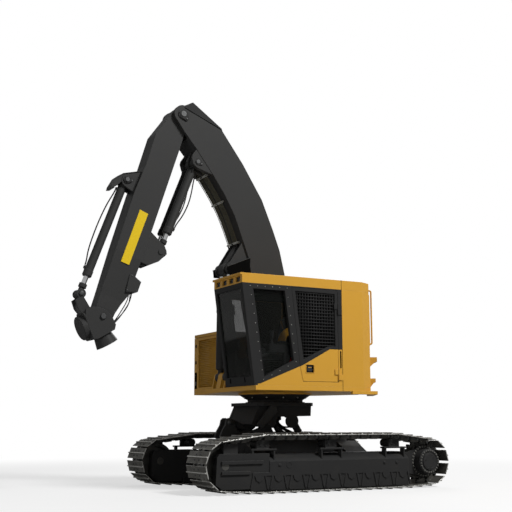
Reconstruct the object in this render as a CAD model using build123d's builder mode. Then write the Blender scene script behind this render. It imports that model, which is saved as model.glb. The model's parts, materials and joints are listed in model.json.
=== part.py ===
from build123d import *
from math import acos, atan2, cos, hypot, pi, sin
from collections import namedtuple
import os

# A tracked forestry harvester: a levelling undercarriage, a slewing house with a
# cab on its left and an engine on its right, and a high two-part boom with a wrist.
#
# Millimetres. +X is forward, +Y is the driver's left, +Z is up. The origin is on the
# ground, under the middle of the machine's own box.
#
# Tables of points run (x, z) or (x, y). An x marked "from the swing axis" counts
# forward from SWING_X, and one marked "from the track's middle" from TRACK_X.

# ---------------------------------------------------------------- clearances
SEAT = 0.3  # running gap of a rolling or turning piece
PIN_GAP = 0.3  # radial gap of a pin in an eye
SIDE_GAP = 6.0  # gap beside a piece that swings between two plates
PANEL_GAP = 6.0  # gap round a door or a hood

# ---------------------------------------------------------------- places
SWING_X = -588.0  # the axis that the house turns about
TRACK_X = SWING_X - 200.0  # middle of the tracks
TRACK_Y = 1255.0  # middle of each track, from the centre line

# ---------------------------------------------------------------- tracks
SHOE_WIDTH = 700.0
SHOE_COUNT = 48
SHOE_GAP = 12.0  # between one plate and the next
PLATE_LOW = 28.0  # the plate's inner face, out from the pitch line
PLATE_HIGH = 42.0  # its outer face
SHOE_LAP = 31.0  # bottom of the notch between two plates
GROUSER_TIP = 64.0  # tip of the one bar across each plate
GROUSER_ROOT = 34.0  # the bar's width at its foot
GROUSER_LAND = 14.0  # and at its tip
RAIL_DEPTH = 48.0  # from the pitch line in to the links' rolling face
RAIL_IN = 52.0  # the links' inner face, from the track's middle
RAIL_OUT = 97.0  # their outer face
DRIVE_RADIUS = 338.0  # pitch radius of the sprocket and the idler
SPROCKET_X = -1915.0  # from the track's middle
IDLER_X = 1925.0
AXLE_Z = 430.0
ROLLER_RADIUS = 90.0
ROLLER_COUNT = 9
ROLLER_FIRST = -1400.0  # from the track's middle
ROLLER_PITCH = 343.0
CARRIER_RADIUS = 65.0
CARRIER_PITCH = 1260.0
CARRIER_COUNT = 3
TOP_RUN_Z = 856.0  # pitch line of the level top run

ROLLER_Z = GROUSER_TIP + RAIL_DEPTH + ROLLER_RADIUS + SEAT
CARRIER_Z = TOP_RUN_Z - RAIL_DEPTH - CARRIER_RADIUS - SEAT

# ---------------------------------------------------------------- track frames
BEAM_IN = 1005.0  # inner face, from the centre line
BEAM_OUT = 1505.0  # outer face
BEAM_REAR = -1520.0  # from the track's middle
BEAM_FRONT = 1160.0
BEAM_LOW = 270.0
BEAM_FLOOR = 322.0  # underside over the rollers
BEAM_SHOULDER = 490.0
BEAM_HIGH = 600.0
BEVEL = 40.0
GUARD_LOW = 50.0
GUARD_PLATE = 30.0
NOSE_FRONT = 2068.0  # front of the box round the idler
NOSE_HIGH = 612.0
NOSE_LOW = 78.0
NOSE_PLATE = 130.0
RIB_DEPTH = 14.0
IDLER_HALF = 105.0
DRUM_RADIUS = 208.0
DRUM_OUT = 1588.0
FLANGE_RADIUS = 270.0
FLANGE_IN = 1372.0
FLANGE_OUT = 1424.0
SPROCKET_TEETH = 21
SPROCKET_WIDTH = 64.0

# ---------------------------------------------------------------- centre and turntable
BODY_HALF = 560.0  # half width of the hull between the tracks
BODY_LOW = 330.0
BODY_HIGH = 800.0
LEG_X = 900.0  # middle of each pair of legs, from the track's middle
LEG_HALF = 210.0
LEG_LOW = 320.0
LEG_HIGH = 560.0
TABLE_LOW = 1365.0
TABLE_HIGH = 1420.0
TABLE_HALF = 565.0
TABLE_REAR = -480.0  # from the swing axis
TABLE_FRONT = 620.0
RING_RADIUS = 483.0
RING_HIGH = 1470.0
RACE_RADIUS = 613.0
RACE_HIGH = 1548.0
LIP_RADIUS = 646.0

# ---------------------------------------------------------------- house
DECK_LOW = 1587.0
DECK_HIGH = 1660.0
SIDE_Y = 1490.0  # both flat sides
CAB_IN = 495.0  # the cab's inner side
CAB_REAR = -435.0  # from the swing axis
CAB_TOP = 3270.0
ROOF_TOP = 3430.0
WALL = 60.0
HOUSE_IN = -450.0  # the engine side's inner wall
HOUSE_FRONT = 870.0
HOUSE_TOP = 2690.0
SHEET = 40.0
SIDE_END = -855.0  # where the flat sides end
CORNER = (-1072.0, 1375.0)
HAUNCH = (-1472.0, 690.0)
TAIL_X = -1750.0
TANK_FRONT = -520.0
TANK_TOP = 2480.0

# ---------------------------------------------------------------- arm
BOOM_HALF = 270.0
STICK_HALF = 200.0
STICK_TIP_HALF = 150.0
FOOT = (150.0, 2150.0)  # boom foot pin, from the swing axis
ELBOW = (1946.0, 6321.0)
WRIST = (3270.0, 2761.0)
HOIST_BASE = (1000.0, 1850.0)
HOIST_EYE = (970.0, 3720.0)
CROWD_BASE = (1653.0, 5514.0)
CROWD_EYE = (2286.0, 3894.0)
TILT_BASE = (2885.0, 5077.0)
TILT_EYE = (3613.0, 3122.0)
PIN_RADIUS = 45.0
FOOT_PIN = 55.0
EAR = 34.0  # thickness of the plates that hold the rams
HOIST_Y = 140.0  # middle of each hoist ram, from the centre line
CROWD_Y = 104.0  # and of each stick ram

# radius: barrel; rod: its rod; barrel: length to the gland; start: the rod's inner
# end at rest; blind: the bore's end; eye_half: half the eye's width; collar: the
# radius of the rod end's collar; collar_from, collar_to: how far it lies from the eye
Ram = namedtuple(
    "Ram", "radius rod barrel start blind eye_radius eye_half collar collar_from collar_to"
)
HOIST = Ram(88.0, 50.0, 1230.0, 660.0, 170.0, 82.0, 56.0, 56.0, 112.0, 96.0)
CROWD = Ram(76.0, 42.0, 1385.0, 240.0, 160.0, 76.0, 48.0, 60.0, 239.0, 165.0)
TILT = Ram(72.0, 42.0, 1770.0, 260.0, 160.0, 72.0, 74.0, 66.0, 186.0, 110.0)
NECK = 46.0  # radius of the rod end between its collar and its eye


def swing(points):
    """Moves points that count from the swing axis into the model's frame."""
    return [(SWING_X + x, other) for x, other in points]


def along_track(points):
    """Moves points that count from the track's middle into the model's frame."""
    return [(TRACK_X + x, other) for x, other in points]


def plate(outline, low, high, mode=Mode.ADD):
    """Adds a plate that stands in the XZ plane, from y = low to y = high."""
    with BuildSketch(Plane.XZ.offset(-high)) as face:
        with BuildLine():
            Polyline(*outline, close=True)
        make_face()
    extrude(face.sketch, amount=high - low, mode=mode)


def slab(outline, low, high, mode=Mode.ADD):
    """Adds a plate that lies in the XY plane, from z = low to z = high."""
    with BuildSketch(Plane.XY.offset(low)) as face:
        with BuildLine():
            Polyline(*outline, close=True)
        make_face()
    extrude(face.sketch, amount=high - low, mode=mode)


def block(x_span, y_span, z_span, mode=Mode.ADD):
    """Adds a box between three spans."""
    spans = (x_span, y_span, z_span)
    with Locations(tuple((low + high) / 2 for low, high in spans)):
        Box(*(high - low for low, high in spans), mode=mode)


def cross_pin(centre, radius, low, high, mode=Mode.ADD):
    """Adds a round bar along Y at an (x, z) centre, from y = low to y = high."""
    with BuildSketch(Plane.XZ.offset(-high)) as face:
        with Locations(centre):
            Circle(radius)
    extrude(face.sketch, amount=high - low, mode=mode)


def turned(centre, profile):
    """Turns a (radius, y) profile about the Y axis through an (x, z) centre."""
    axle = Plane(origin=(centre[0], 0, centre[1]), x_dir=(1, 0, 0), z_dir=(0, 0, 1))
    with BuildSketch(axle) as face:
        with BuildLine():
            Polyline(*profile, close=True)
        make_face()
    revolve(face.sketch, axis=Axis((centre[0], 0, centre[1]), (0, 1, 0)))


def ear_spans(middle, half):
    """The y spans of the three plates that hold a pair of rams side by side."""
    inner = middle - half - SIDE_GAP
    outer = middle + half + SIDE_GAP
    return [(-outer - EAR, -outer), (-inner, inner), (outer, outer + EAR)]


def both_sides(piece):
    """Gives a left-hand piece and its mirror image on the right as one part."""
    return Part(children=[piece, mirror(piece, about=Plane.XZ)])


def between(start, end, share):
    """The point a share of the way from one point to another."""
    return tuple(a + (b - a) * share for a, b in zip(start, end))


def ram_plane(base, eye, y):
    """A plane through a ram's axis: x runs along the ram from its base pin."""
    return Plane(
        origin=(SWING_X + base[0], y, base[1]),
        x_dir=(eye[0] - base[0], 0, eye[1] - base[1]),
        z_dir=(0, -1, 0),
    )


def spun(plane, profile):
    """Turns a (distance along, radius) profile about a ram's own axis."""
    with BuildSketch(plane) as face:
        with BuildLine():
            Polyline(*profile, close=True)
        make_face()
    revolve(face.sketch, axis=Axis(plane.origin, plane.x_dir))


def barrel(base, eye, y, size):
    """Adds a ram's barrel with its bore and the eye at its base."""
    plane = ram_plane(base, eye, y)
    spun(
        plane,
        [
            (size.eye_radius - 12, 0),
            (size.eye_radius - 12, size.eye_half - 6),
            (size.eye_radius + 38, size.eye_half - 6),
            (size.eye_radius + 66, size.radius),
            (size.barrel - 110, size.radius),
            (size.barrel - 104, size.radius + 7),
            (size.barrel - 12, size.radius + 7),
            (size.barrel, size.radius - 6),
            (size.barrel, size.rod + SEAT),
            (size.blind, size.rod + SEAT),
            (size.blind, 0),
        ],
    )
    pin = (SWING_X + base[0], base[1])
    cross_pin(pin, size.eye_radius, y - size.eye_half, y + size.eye_half)
    cross_pin(pin, PIN_RADIUS + PIN_GAP, y - size.eye_half, y + size.eye_half, Mode.SUBTRACT)


def rod(base, eye, y, size):
    """Adds a ram's rod, with the solid head that turns between two ears."""
    reach = hypot(eye[0] - base[0], eye[1] - base[1])
    spun(
        ram_plane(base, eye, y),
        [
            (size.start, 0),
            (size.start, size.rod),
            (reach - size.collar_from, size.rod),
            (reach - size.collar_from + 6, size.collar),
            (reach - size.collar_to - 6, size.collar),
            (reach - size.collar_to, NECK),
            (reach - size.eye_radius + 20, NECK),
            (reach - size.eye_radius + 20, 0),
        ],
    )
    cross_pin(
        (SWING_X + eye[0], eye[1]), size.eye_radius, y - size.eye_half, y + size.eye_half
    )


def save(piece, name):
    """Labels a finished piece and writes it under the same name."""
    piece.label = name
    export_step(piece, f"parts/{name}.step")


os.makedirs("parts", exist_ok=True)

# ================================================================ tracks
# The chain's pitch line is a belt round these wheels: x, z and radius of each,
# counter-clockwise as seen from the right.
ROLLER_LAST = ROLLER_FIRST + ROLLER_PITCH * (ROLLER_COUNT - 1)
LOW_BELT = ROLLER_RADIUS + RAIL_DEPTH
HIGH_BELT = CARRIER_RADIUS + RAIL_DEPTH
WHEELS = [
    (ROLLER_FIRST, GROUSER_TIP + LOW_BELT, LOW_BELT),
    (ROLLER_LAST, GROUSER_TIP + LOW_BELT, LOW_BELT),
    (IDLER_X, AXLE_Z, DRIVE_RADIUS),
    (CARRIER_PITCH, TOP_RUN_Z - HIGH_BELT, HIGH_BELT),
    (-CARRIER_PITCH, TOP_RUN_Z - HIGH_BELT, HIGH_BELT),
    (SPROCKET_X, AXLE_Z, DRIVE_RADIUS),
]


def belt(wheels):
    """Lists the straight runs and arcs of a belt round wheels, in order.

    A run is (length, start, heading) and an arc (length, centre, radius, angle)."""
    normals = []
    for wheel, after in zip(wheels, wheels[1:] + wheels[:1]):
        reach = hypot(after[0] - wheel[0], after[1] - wheel[1])
        heading = atan2(after[1] - wheel[1], after[0] - wheel[0])
        normals.append(heading - acos((wheel[2] - after[2]) / reach))
    spans = []
    for i, wheel in enumerate(wheels):
        before, here = normals[i - 1], normals[i]
        turn = (here - before) % (2 * pi)
        spans.append((turn * wheel[2], wheel, wheel[2], before))
        after = wheels[(i + 1) % len(wheels)]
        start = (wheel[0] + wheel[2] * cos(here), wheel[1] + wheel[2] * sin(here))
        end = (after[0] + after[2] * cos(here), after[1] + after[2] * sin(here))
        spans.append((hypot(end[0] - start[0], end[1] - start[1]), start, 0.0, here))
    return spans


def station(spans, distance):
    """The point and the outward angle at a distance along the belt."""
    for length, place, radius, angle in spans:
        if distance <= length:
            break
        distance -= length
    if radius:
        angle += distance / radius
        return place[0] + radius * cos(angle), place[1] + radius * sin(angle), angle
    return place[0] - distance * sin(angle), place[1] + distance * cos(angle), angle


def off_chain(place, forward, out):
    """A point forward along the chain and out from its pitch line."""
    x, z, angle = place
    return (
        x - forward * sin(angle) + out * cos(angle),
        z + forward * cos(angle) + out * sin(angle),
    )


def rail_corner(first, second):
    """Where the rolling faces of two neighbouring links meet."""
    (x1, z1, out1), (x2, z2, out2) = first, second
    spread = sin(out2 - out1)
    if abs(spread) < 1e-6:
        middle = ((x1 + x2) / 2, (z1 + z2) / 2, out1)
        return off_chain(middle, 0, -RAIL_DEPTH)
    reach1 = x1 * cos(out1) + z1 * sin(out1) - RAIL_DEPTH
    reach2 = x2 * cos(out2) + z2 * sin(out2) - RAIL_DEPTH
    return (
        (reach1 * sin(out2) - reach2 * sin(out1)) / spread,
        (reach2 * cos(out1) - reach1 * cos(out2)) / spread,
    )


CHAIN = belt(WHEELS)
CHAIN_LENGTH = sum(span[0] for span in CHAIN)
SHOE_PITCH = CHAIN_LENGTH / SHOE_COUNT
SHOE_HALF = (SHOE_PITCH - SHOE_GAP) / 2
SHOES = [station(CHAIN, (i + 0.5) * SHOE_PITCH) for i in range(SHOE_COUNT)]
# one shoe's outer face: forward along the chain, out from the pitch line
SHOE_FACE = [
    (-SHOE_HALF, SHOE_LAP),
    (-SHOE_HALF, PLATE_HIGH),
    (-GROUSER_ROOT / 2, PLATE_HIGH),
    (-GROUSER_LAND / 2, GROUSER_TIP),
    (GROUSER_LAND / 2, GROUSER_TIP),
    (GROUSER_ROOT / 2, PLATE_HIGH),
    (SHOE_HALF, PLATE_HIGH),
]
shoe_outline = [off_chain(shoe, *point) for shoe in SHOES for point in SHOE_FACE]
plate_backs = [
    off_chain(shoe, forward, PLATE_LOW) for shoe in SHOES for forward in (-SHOE_HALF, SHOE_HALF)
]
rail_outline = [rail_corner(SHOES[i - 1], SHOES[i]) for i in range(SHOE_COUNT)]

with BuildPart() as track:
    plate(along_track(shoe_outline), TRACK_Y - SHOE_WIDTH / 2, TRACK_Y + SHOE_WIDTH / 2)
    plate(
        along_track(plate_backs), TRACK_Y - SHOE_WIDTH / 2, TRACK_Y + SHOE_WIDTH / 2, Mode.SUBTRACT
    )
    for low, high in ((-RAIL_OUT, -RAIL_IN), (RAIL_IN, RAIL_OUT)):
        with BuildSketch(Plane.XZ.offset(-TRACK_Y - high)) as link_row:
            with BuildLine():
                Polyline(*along_track(plate_backs), close=True)
            make_face()
            with BuildLine():
                Polyline(*along_track(rail_outline), close=True)
            make_face(mode=Mode.SUBTRACT)
        extrude(amount=high - low)
save(track.part, "track_left")
save(mirror(track.part, about=Plane.XZ), "track_right")

# ================================================================ wheels in the tracks
IDLER = (TRACK_X + IDLER_X, AXLE_Z)
SPROCKET = (TRACK_X + SPROCKET_X, AXLE_Z)
IDLER_TREAD = DRIVE_RADIUS - RAIL_DEPTH - SEAT
with BuildPart() as idler:
    turned(
        IDLER,
        [  # radius, y
            (0, TRACK_Y - NOSE_PLATE - IDLER_HALF),
            (60, TRACK_Y - NOSE_PLATE - IDLER_HALF),
            (60, TRACK_Y - IDLER_HALF + SEAT),
            (105, TRACK_Y - IDLER_HALF + SEAT),
            (120, TRACK_Y - 30),
            (240, TRACK_Y - 24),
            (250, TRACK_Y - RAIL_OUT),
            (IDLER_TREAD, TRACK_Y - RAIL_OUT),
            (IDLER_TREAD, TRACK_Y - RAIL_IN + 2),
            (IDLER_TREAD + 22, TRACK_Y - RAIL_IN + 8),
            (IDLER_TREAD + 22, TRACK_Y + RAIL_IN - 8),
            (IDLER_TREAD, TRACK_Y + RAIL_IN - 2),
            (IDLER_TREAD, TRACK_Y + RAIL_OUT),
            (250, TRACK_Y + RAIL_OUT),
            (240, TRACK_Y + 24),
            (120, TRACK_Y + 30),
            (105, TRACK_Y + IDLER_HALF - SEAT),
            (60, TRACK_Y + IDLER_HALF - SEAT),
            (60, TRACK_Y + NOSE_PLATE + IDLER_HALF),
            (0, TRACK_Y + NOSE_PLATE + IDLER_HALF),
        ],
    )
save(both_sides(idler.part), "idlers")

with BuildPart() as sprocket:
    cross_pin(
        SPROCKET, DRIVE_RADIUS - 36, TRACK_Y - SPROCKET_WIDTH / 2, TRACK_Y + SPROCKET_WIDTH / 2
    )
    with BuildSketch(Plane.XZ.offset(-TRACK_Y - SPROCKET_WIDTH / 2)) as teeth:
        with Locations(SPROCKET):
            with PolarLocations(DRIVE_RADIUS - 42, SPROCKET_TEETH):
                Trapezoid(78, 58, 62, rotation=-90, align=(Align.CENTER, Align.MIN))
    extrude(amount=SPROCKET_WIDTH)
    cross_pin(
        SPROCKET,
        DRUM_RADIUS + SEAT,
        TRACK_Y - SPROCKET_WIDTH,
        TRACK_Y + SPROCKET_WIDTH,
        Mode.SUBTRACT,
    )
save(both_sides(sprocket.part), "sprockets")

COVER_RADIUS = 145.0
with BuildPart() as final_drive:
    turned(
        SPROCKET,
        [
            (0, BEAM_IN + GUARD_PLATE),
            (170, BEAM_IN + GUARD_PLATE),
            (170, TRACK_Y - 60),
            (DRUM_RADIUS, TRACK_Y - 60),
            (DRUM_RADIUS, DRUM_OUT - 22),
            (DRUM_RADIUS - 22, DRUM_OUT - 10),
            (COVER_RADIUS + 14, DRUM_OUT - 10),
            (COVER_RADIUS + 14, DRUM_OUT - 18),
            (COVER_RADIUS, DRUM_OUT - 18),
            (COVER_RADIUS - 6, DRUM_OUT),
            (0, DRUM_OUT),
        ],
    )
save(both_sides(final_drive.part), "final_drives")

ROLLERS = [TRACK_X + ROLLER_FIRST + i * ROLLER_PITCH for i in range(ROLLER_COUNT)]
CARRIERS = [TRACK_X + (i - 1) * CARRIER_PITCH for i in range(CARRIER_COUNT)]
with BuildPart() as rollers:
    for x in ROLLERS:
        turned(
            (x, ROLLER_Z),
            [  # a double-flanged roller on its axle
                (0, BEAM_IN + RIB_DEPTH + GUARD_PLATE),
                (38, BEAM_IN + RIB_DEPTH + GUARD_PLATE),
                (38, TRACK_Y - 115),
                (104, TRACK_Y - 115),
                (104, TRACK_Y - RAIL_OUT - 3),
                (ROLLER_RADIUS, TRACK_Y - RAIL_OUT - 3),
                (ROLLER_RADIUS, TRACK_Y + RAIL_OUT + 3),
                (104, TRACK_Y + RAIL_OUT + 3),
                (104, TRACK_Y + 115),
                (38, TRACK_Y + 115),
                (38, BEAM_OUT - RIB_DEPTH - GUARD_PLATE),
                (0, BEAM_OUT - RIB_DEPTH - GUARD_PLATE),
            ],
        )
save(both_sides(rollers.part), "track_rollers")

CARRIER_POST = 1400.0  # the post that carries each carrier roller's stub, and on to the edge
with BuildPart() as carriers:
    for x in CARRIERS:
        turned(
            (x, CARRIER_Z),
            [
                (0, TRACK_Y - 105),
                (CARRIER_RADIUS, TRACK_Y - 105),
                (CARRIER_RADIUS, TRACK_Y + 110),
                (30, TRACK_Y + 110),
                (30, CARRIER_POST),
                (0, CARRIER_POST),
            ],
        )
save(both_sides(carriers.part), "carrier_rollers")

# ================================================================ track frames
GUARD_IN = BEAM_IN + RIB_DEPTH  # the roller guards stand back from the beam's sides
GUARD_OUT = BEAM_OUT - RIB_DEPTH
BEAM_SECTION = [  # y, z of the long beam, outer side sloping in to its top
    (BEAM_IN, BEAM_LOW),
    (GUARD_IN + GUARD_PLATE, BEAM_LOW),
    (GUARD_IN + GUARD_PLATE, BEAM_FLOOR),
    (GUARD_OUT - GUARD_PLATE, BEAM_FLOOR),
    (GUARD_OUT - GUARD_PLATE, BEAM_LOW),
    (BEAM_OUT, BEAM_LOW),
    (BEAM_OUT, BEAM_SHOULDER),
    (BEAM_OUT - BEVEL, BEAM_SHOULDER + BEVEL),
    (BEAM_OUT - 4 * BEVEL, BEAM_HIGH),
    (BEAM_IN + BEVEL, BEAM_HIGH),
    (BEAM_IN, BEAM_HIGH - BEVEL),
]
NOSE_REAR = 1467.0
NOSE_OUTLINE = [  # side of the box round the idler, from the track's middle
    (BEAM_FRONT, BEAM_FLOOR),
    (NOSE_REAR, BEAM_FLOOR),
    (NOSE_REAR, BEAM_LOW),
    (NOSE_REAR + 38, NOSE_LOW),
    (NOSE_FRONT - 90, NOSE_LOW),
    (NOSE_FRONT + 22, NOSE_LOW + 75),
    (NOSE_FRONT, NOSE_HIGH - 60),
    (NOSE_FRONT - 40, NOSE_HIGH),
    (BEAM_FRONT, NOSE_HIGH),
]
TAIL_OUTLINE = [  # plate that carries the final drive
    (BEAM_REAR + 60, BEAM_FLOOR),
    (BEAM_REAR + 60, BEAM_HIGH - BEVEL),
    (BEAM_REAR - 140, BEAM_HIGH + 20),
    (SPROCKET_X, AXLE_Z + FLANGE_RADIUS - 30),
    (SPROCKET_X, AXLE_Z - FLANGE_RADIUS + 30),
    (BEAM_REAR - 60, BEAM_LOW - 40),
]
RIB_WIDTH = 26.0
CAP_HALF = 78.0
CARRIER_TABLE = 683.0
with BuildPart() as track_frame:
    with BuildSketch(Plane.YZ.offset(TRACK_X + BEAM_REAR)) as beam:
        with BuildLine():
            Polyline(*BEAM_SECTION, close=True)
        make_face()
    extrude(amount=BEAM_FRONT - BEAM_REAR)
    # plates beside the rollers
    for low in (GUARD_IN, GUARD_OUT - GUARD_PLATE):
        block(
            (TRACK_X + BEAM_REAR, TRACK_X + NOSE_REAR + 20),
            (low, low + GUARD_PLATE),
            (GUARD_LOW, BEAM_FLOOR),
        )
    block(
        (TRACK_X + BEAM_FRONT, TRACK_X + NOSE_REAR),
        (BEAM_OUT - GUARD_PLATE, BEAM_OUT),
        (BEAM_LOW, BEAM_FLOOR),
    )
    # box plates beside the idler, and the deep web that ties them to the beam
    for low in (TRACK_Y - IDLER_HALF - NOSE_PLATE, TRACK_Y + IDLER_HALF):
        plate(along_track(NOSE_OUTLINE), low, low + NOSE_PLATE)
    block(
        (TRACK_X + BEAM_FRONT, TRACK_X + IDLER_X - DRIVE_RADIUS - 20),
        (TRACK_Y - IDLER_HALF, TRACK_Y + IDLER_HALF),
        (BEAM_FLOOR + 40, NOSE_HIGH),
    )
    cross_pin(IDLER, 60 + PIN_GAP, BEAM_IN, BEAM_OUT, Mode.SUBTRACT)
    # the raised ribs along the nose and the upright block on top of it
    for x_span, z_mid in (
        ((BEAM_FRONT + 120, NOSE_FRONT - 70), 480.0),
        ((NOSE_REAR + 40, NOSE_FRONT - 70), 325.0),
    ):
        block(
            (TRACK_X + x_span[0], TRACK_X + x_span[1]),
            (BEAM_OUT - 15, BEAM_OUT + RIB_DEPTH),
            (z_mid - 24, z_mid + 24),
        )
    block(
        (TRACK_X + NOSE_FRONT - 350, TRACK_X + NOSE_FRONT - 110),
        (BEAM_OUT - 95, BEAM_OUT - 20),
        (NOSE_HIGH, NOSE_HIGH + 150),
    )
    # plate and round flange that carry the final drive
    plate(along_track(TAIL_OUTLINE), FLANGE_IN, FLANGE_OUT)
    cross_pin(SPROCKET, FLANGE_RADIUS, FLANGE_IN, FLANGE_OUT)
    cross_pin(SPROCKET, DRUM_RADIUS + PIN_GAP, FLANGE_IN, FLANGE_OUT, Mode.SUBTRACT)
    # ribs in pairs, leaning together, with a half-hexagon roller cap in each bay
    for x in ROLLERS:
        for lean in (-1, 1):
            foot, head = x + lean * 150, x + lean * 108
            plate(
                [
                    (foot - RIB_WIDTH / 2, GUARD_LOW + 22),
                    (foot + RIB_WIDTH / 2, GUARD_LOW + 22),
                    (head + RIB_WIDTH / 2, BEAM_LOW),
                    (head - RIB_WIDTH / 2, BEAM_LOW),
                ],
                GUARD_OUT,
                BEAM_OUT,
            )
        plate(
            [
                (x - CAP_HALF, BEAM_LOW),
                (x - CAP_HALF * 0.75, BEAM_LOW - 62),
                (x, BEAM_LOW - 98),
                (x + CAP_HALF * 0.75, BEAM_LOW - 62),
                (x + CAP_HALF, BEAM_LOW),
            ],
            GUARD_OUT,
            BEAM_OUT,
        )
    # tables and posts of the carrier rollers
    for x in CARRIERS:
        for post_x in (x - 190, x + 190):
            block(
                (post_x - 12, post_x + 12),
                (CARRIER_POST - 15, CARRIER_POST + 90),
                (BEAM_SHOULDER, CARRIER_TABLE - 26),
            )
        block(
            (x - 225, x + 225),
            (CARRIER_POST - 25, CARRIER_POST + 100),
            (CARRIER_TABLE - 26, CARRIER_TABLE),
        )
        block(
            (x - 108, x + 108),
            (CARRIER_POST, CARRIER_POST + 60),
            (CARRIER_TABLE, CARRIER_Z + CARRIER_RADIUS),
        )
        chamfer(
            track_frame.edges()
            .filter_by(Axis.Y)
            .filter_by_position(Axis.X, x - 110, x + 110)
            .filter_by_position(
                Axis.Z, CARRIER_Z + CARRIER_RADIUS - 1, CARRIER_Z + CARRIER_RADIUS + 1
            ),
            length=14,
        )
save(track_frame.part, "track_frame_left")
save(mirror(track_frame.part, about=Plane.XZ), "track_frame_right")

# ================================================================ centre hull
HULL_SIDE = [  # from the track's middle
    (-1000, BODY_LOW + 120),
    (-860, BODY_LOW),
    (980, BODY_LOW),
    (1120, BODY_LOW + 120),
    (1120, 700),
    (1020, BODY_HIGH),
    (-860, BODY_HIGH),
    (-1000, 700),
]
TOW_X = 1195.0  # from the track's middle
TOW_Y = 250.0
TOW_LOW = 440.0
TOW_HIGH = 490.0
TOW_HOLE = 32.0
with BuildPart() as car_body:
    plate(along_track(HULL_SIDE), -BODY_HALF, BODY_HALF)
    for x in (TRACK_X - LEG_X, TRACK_X + LEG_X):
        block(
            (x - LEG_HALF, x + LEG_HALF),
            (-BEAM_IN, BEAM_IN),
            (LEG_LOW, LEG_HIGH),
        )
        for side in (-1, 1):  # haunches that widen the leg into the hull
            with BuildSketch(Plane.YZ.offset(x - LEG_HALF)) as haunch:
                with BuildLine():
                    Polyline(
                        (side * BODY_HALF, LEG_HIGH),
                        (side * (BEAM_IN - 60), LEG_HIGH),
                        (side * BODY_HALF, BODY_HIGH - 30),
                        close=True,
                    )
                make_face()
            extrude(amount=2 * LEG_HALF)
    for y in (-TOW_Y, TOW_Y):  # flat lugs that a shackle hangs from
        slab(
            along_track(
                [
                    (1080, y - 85),
                    (1205, y - 85),
                    (1270, y - 40),
                    (1270, y + 40),
                    (1205, y + 85),
                    (1080, y + 85),
                ]
            ),
            TOW_LOW,
            TOW_HIGH,
        )
        with BuildSketch(Plane.XY.offset(TOW_LOW)) as hole:
            with Locations((TRACK_X + TOW_X, y)):
                Circle(TOW_HOLE)
        extrude(hole.sketch, amount=TOW_HIGH - TOW_LOW, mode=Mode.SUBTRACT)
save(car_body.part, "car_body")

# ================================================================ levelling pedestal
# The yoke stands on the hull at the front and holds the turntable's frame on a cross
# pin, so that short rams can tilt the frame.
YOKE_PIN = (420.0, 1110.0)  # from the swing axis
FRAME_WALL = 45.0
FRAME_Y = 500.0  # outer face of the turntable frame's side walls
FRAME_SIDE = [  # from the swing axis: the side wall with its arch and its hanging ear
    (-430, TABLE_LOW),
    (-420, 1195),
    (-175, 1190),
    (60, 1165),
    (85, 1182),
    (225, 1182),
    (250, 1150),
    (300, 1015),
    (640, 1015),
    (360, TABLE_LOW),
]
LOBE = (-55.0, 1110.0)
LOBE_RADIUS = 118.0
with BuildPart() as turntable_frame:
    block(
        (SWING_X + TABLE_REAR, SWING_X + TABLE_FRONT),
        (-TABLE_HALF, TABLE_HALF),
        (TABLE_LOW, TABLE_HIGH),
    )
    chamfer(turntable_frame.edges().filter_by(Axis.Z), length=90)
    for low in (-FRAME_Y, FRAME_Y - FRAME_WALL):
        plate(swing(FRAME_SIDE), low, low + FRAME_WALL)
        cross_pin(swing([LOBE])[0], LOBE_RADIUS, low, low + FRAME_WALL)
    # the sloping front wall with its recessed panel, and the wall behind
    plate(
        swing([(360, TABLE_LOW), (580, TABLE_LOW), (720, 1060), (640, 1015), (500, 1180)]),
        -FRAME_Y + FRAME_WALL,
        FRAME_Y - FRAME_WALL,
    )
    plate(
        swing([(600, TABLE_LOW), (575, TABLE_LOW), (700, 1090), (740, 1090)]),
        -FRAME_Y + 120,
        FRAME_Y - 120,
        Mode.SUBTRACT,
    )
    block(
        (SWING_X - 425, SWING_X - 380), (-FRAME_Y + FRAME_WALL, FRAME_Y - FRAME_WALL), (1200, TABLE_LOW)
    )
    cross_pin(
        swing([YOKE_PIN])[0], PIN_RADIUS + 15 + PIN_GAP, -FRAME_Y, FRAME_Y, Mode.SUBTRACT
    )
save(turntable_frame.part, "turntable_frame")

YOKE_HALF = FRAME_Y - FRAME_WALL - SIDE_GAP
with BuildPart() as yoke:
    for low in (-YOKE_HALF, YOKE_HALF - 60):
        plate(
            swing(
                [
                    (230, BODY_HIGH),
                    (900, BODY_HIGH),
                    (880, 880),
                    (560, 1000),
                    (470, 1160),
                    (370, 1160),
                    (330, 1000),
                ]
            ),
            low,
            low + 60,
        )
    plate(
        swing([(300, BODY_HIGH), (900, BODY_HIGH), (880, 880), (640, 960), (330, 960)]),
        -YOKE_HALF + 60,
        YOKE_HALF - 60,
    )
    cross_pin(swing([YOKE_PIN])[0], 60, -YOKE_HALF, YOKE_HALF)
    cross_pin(swing([YOKE_PIN])[0], 60, -FRAME_Y - 24, -YOKE_HALF)
    cross_pin(swing([YOKE_PIN])[0], 60, YOKE_HALF, FRAME_Y + 24)
save(yoke.part, "levelling_yoke")

# ================================================================ turntable
LIP_LOW = 1560.0
with BuildPart() as slewing_ring:
    with BuildSketch(Plane.XY.offset(TABLE_HIGH)):
        with Locations((SWING_X, 0)):
            Circle(RING_RADIUS)
            Circle(RING_RADIUS - 110, mode=Mode.SUBTRACT)
    extrude(amount=RING_HIGH - TABLE_HIGH)
save(slewing_ring.part, "slewing_ring")

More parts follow.
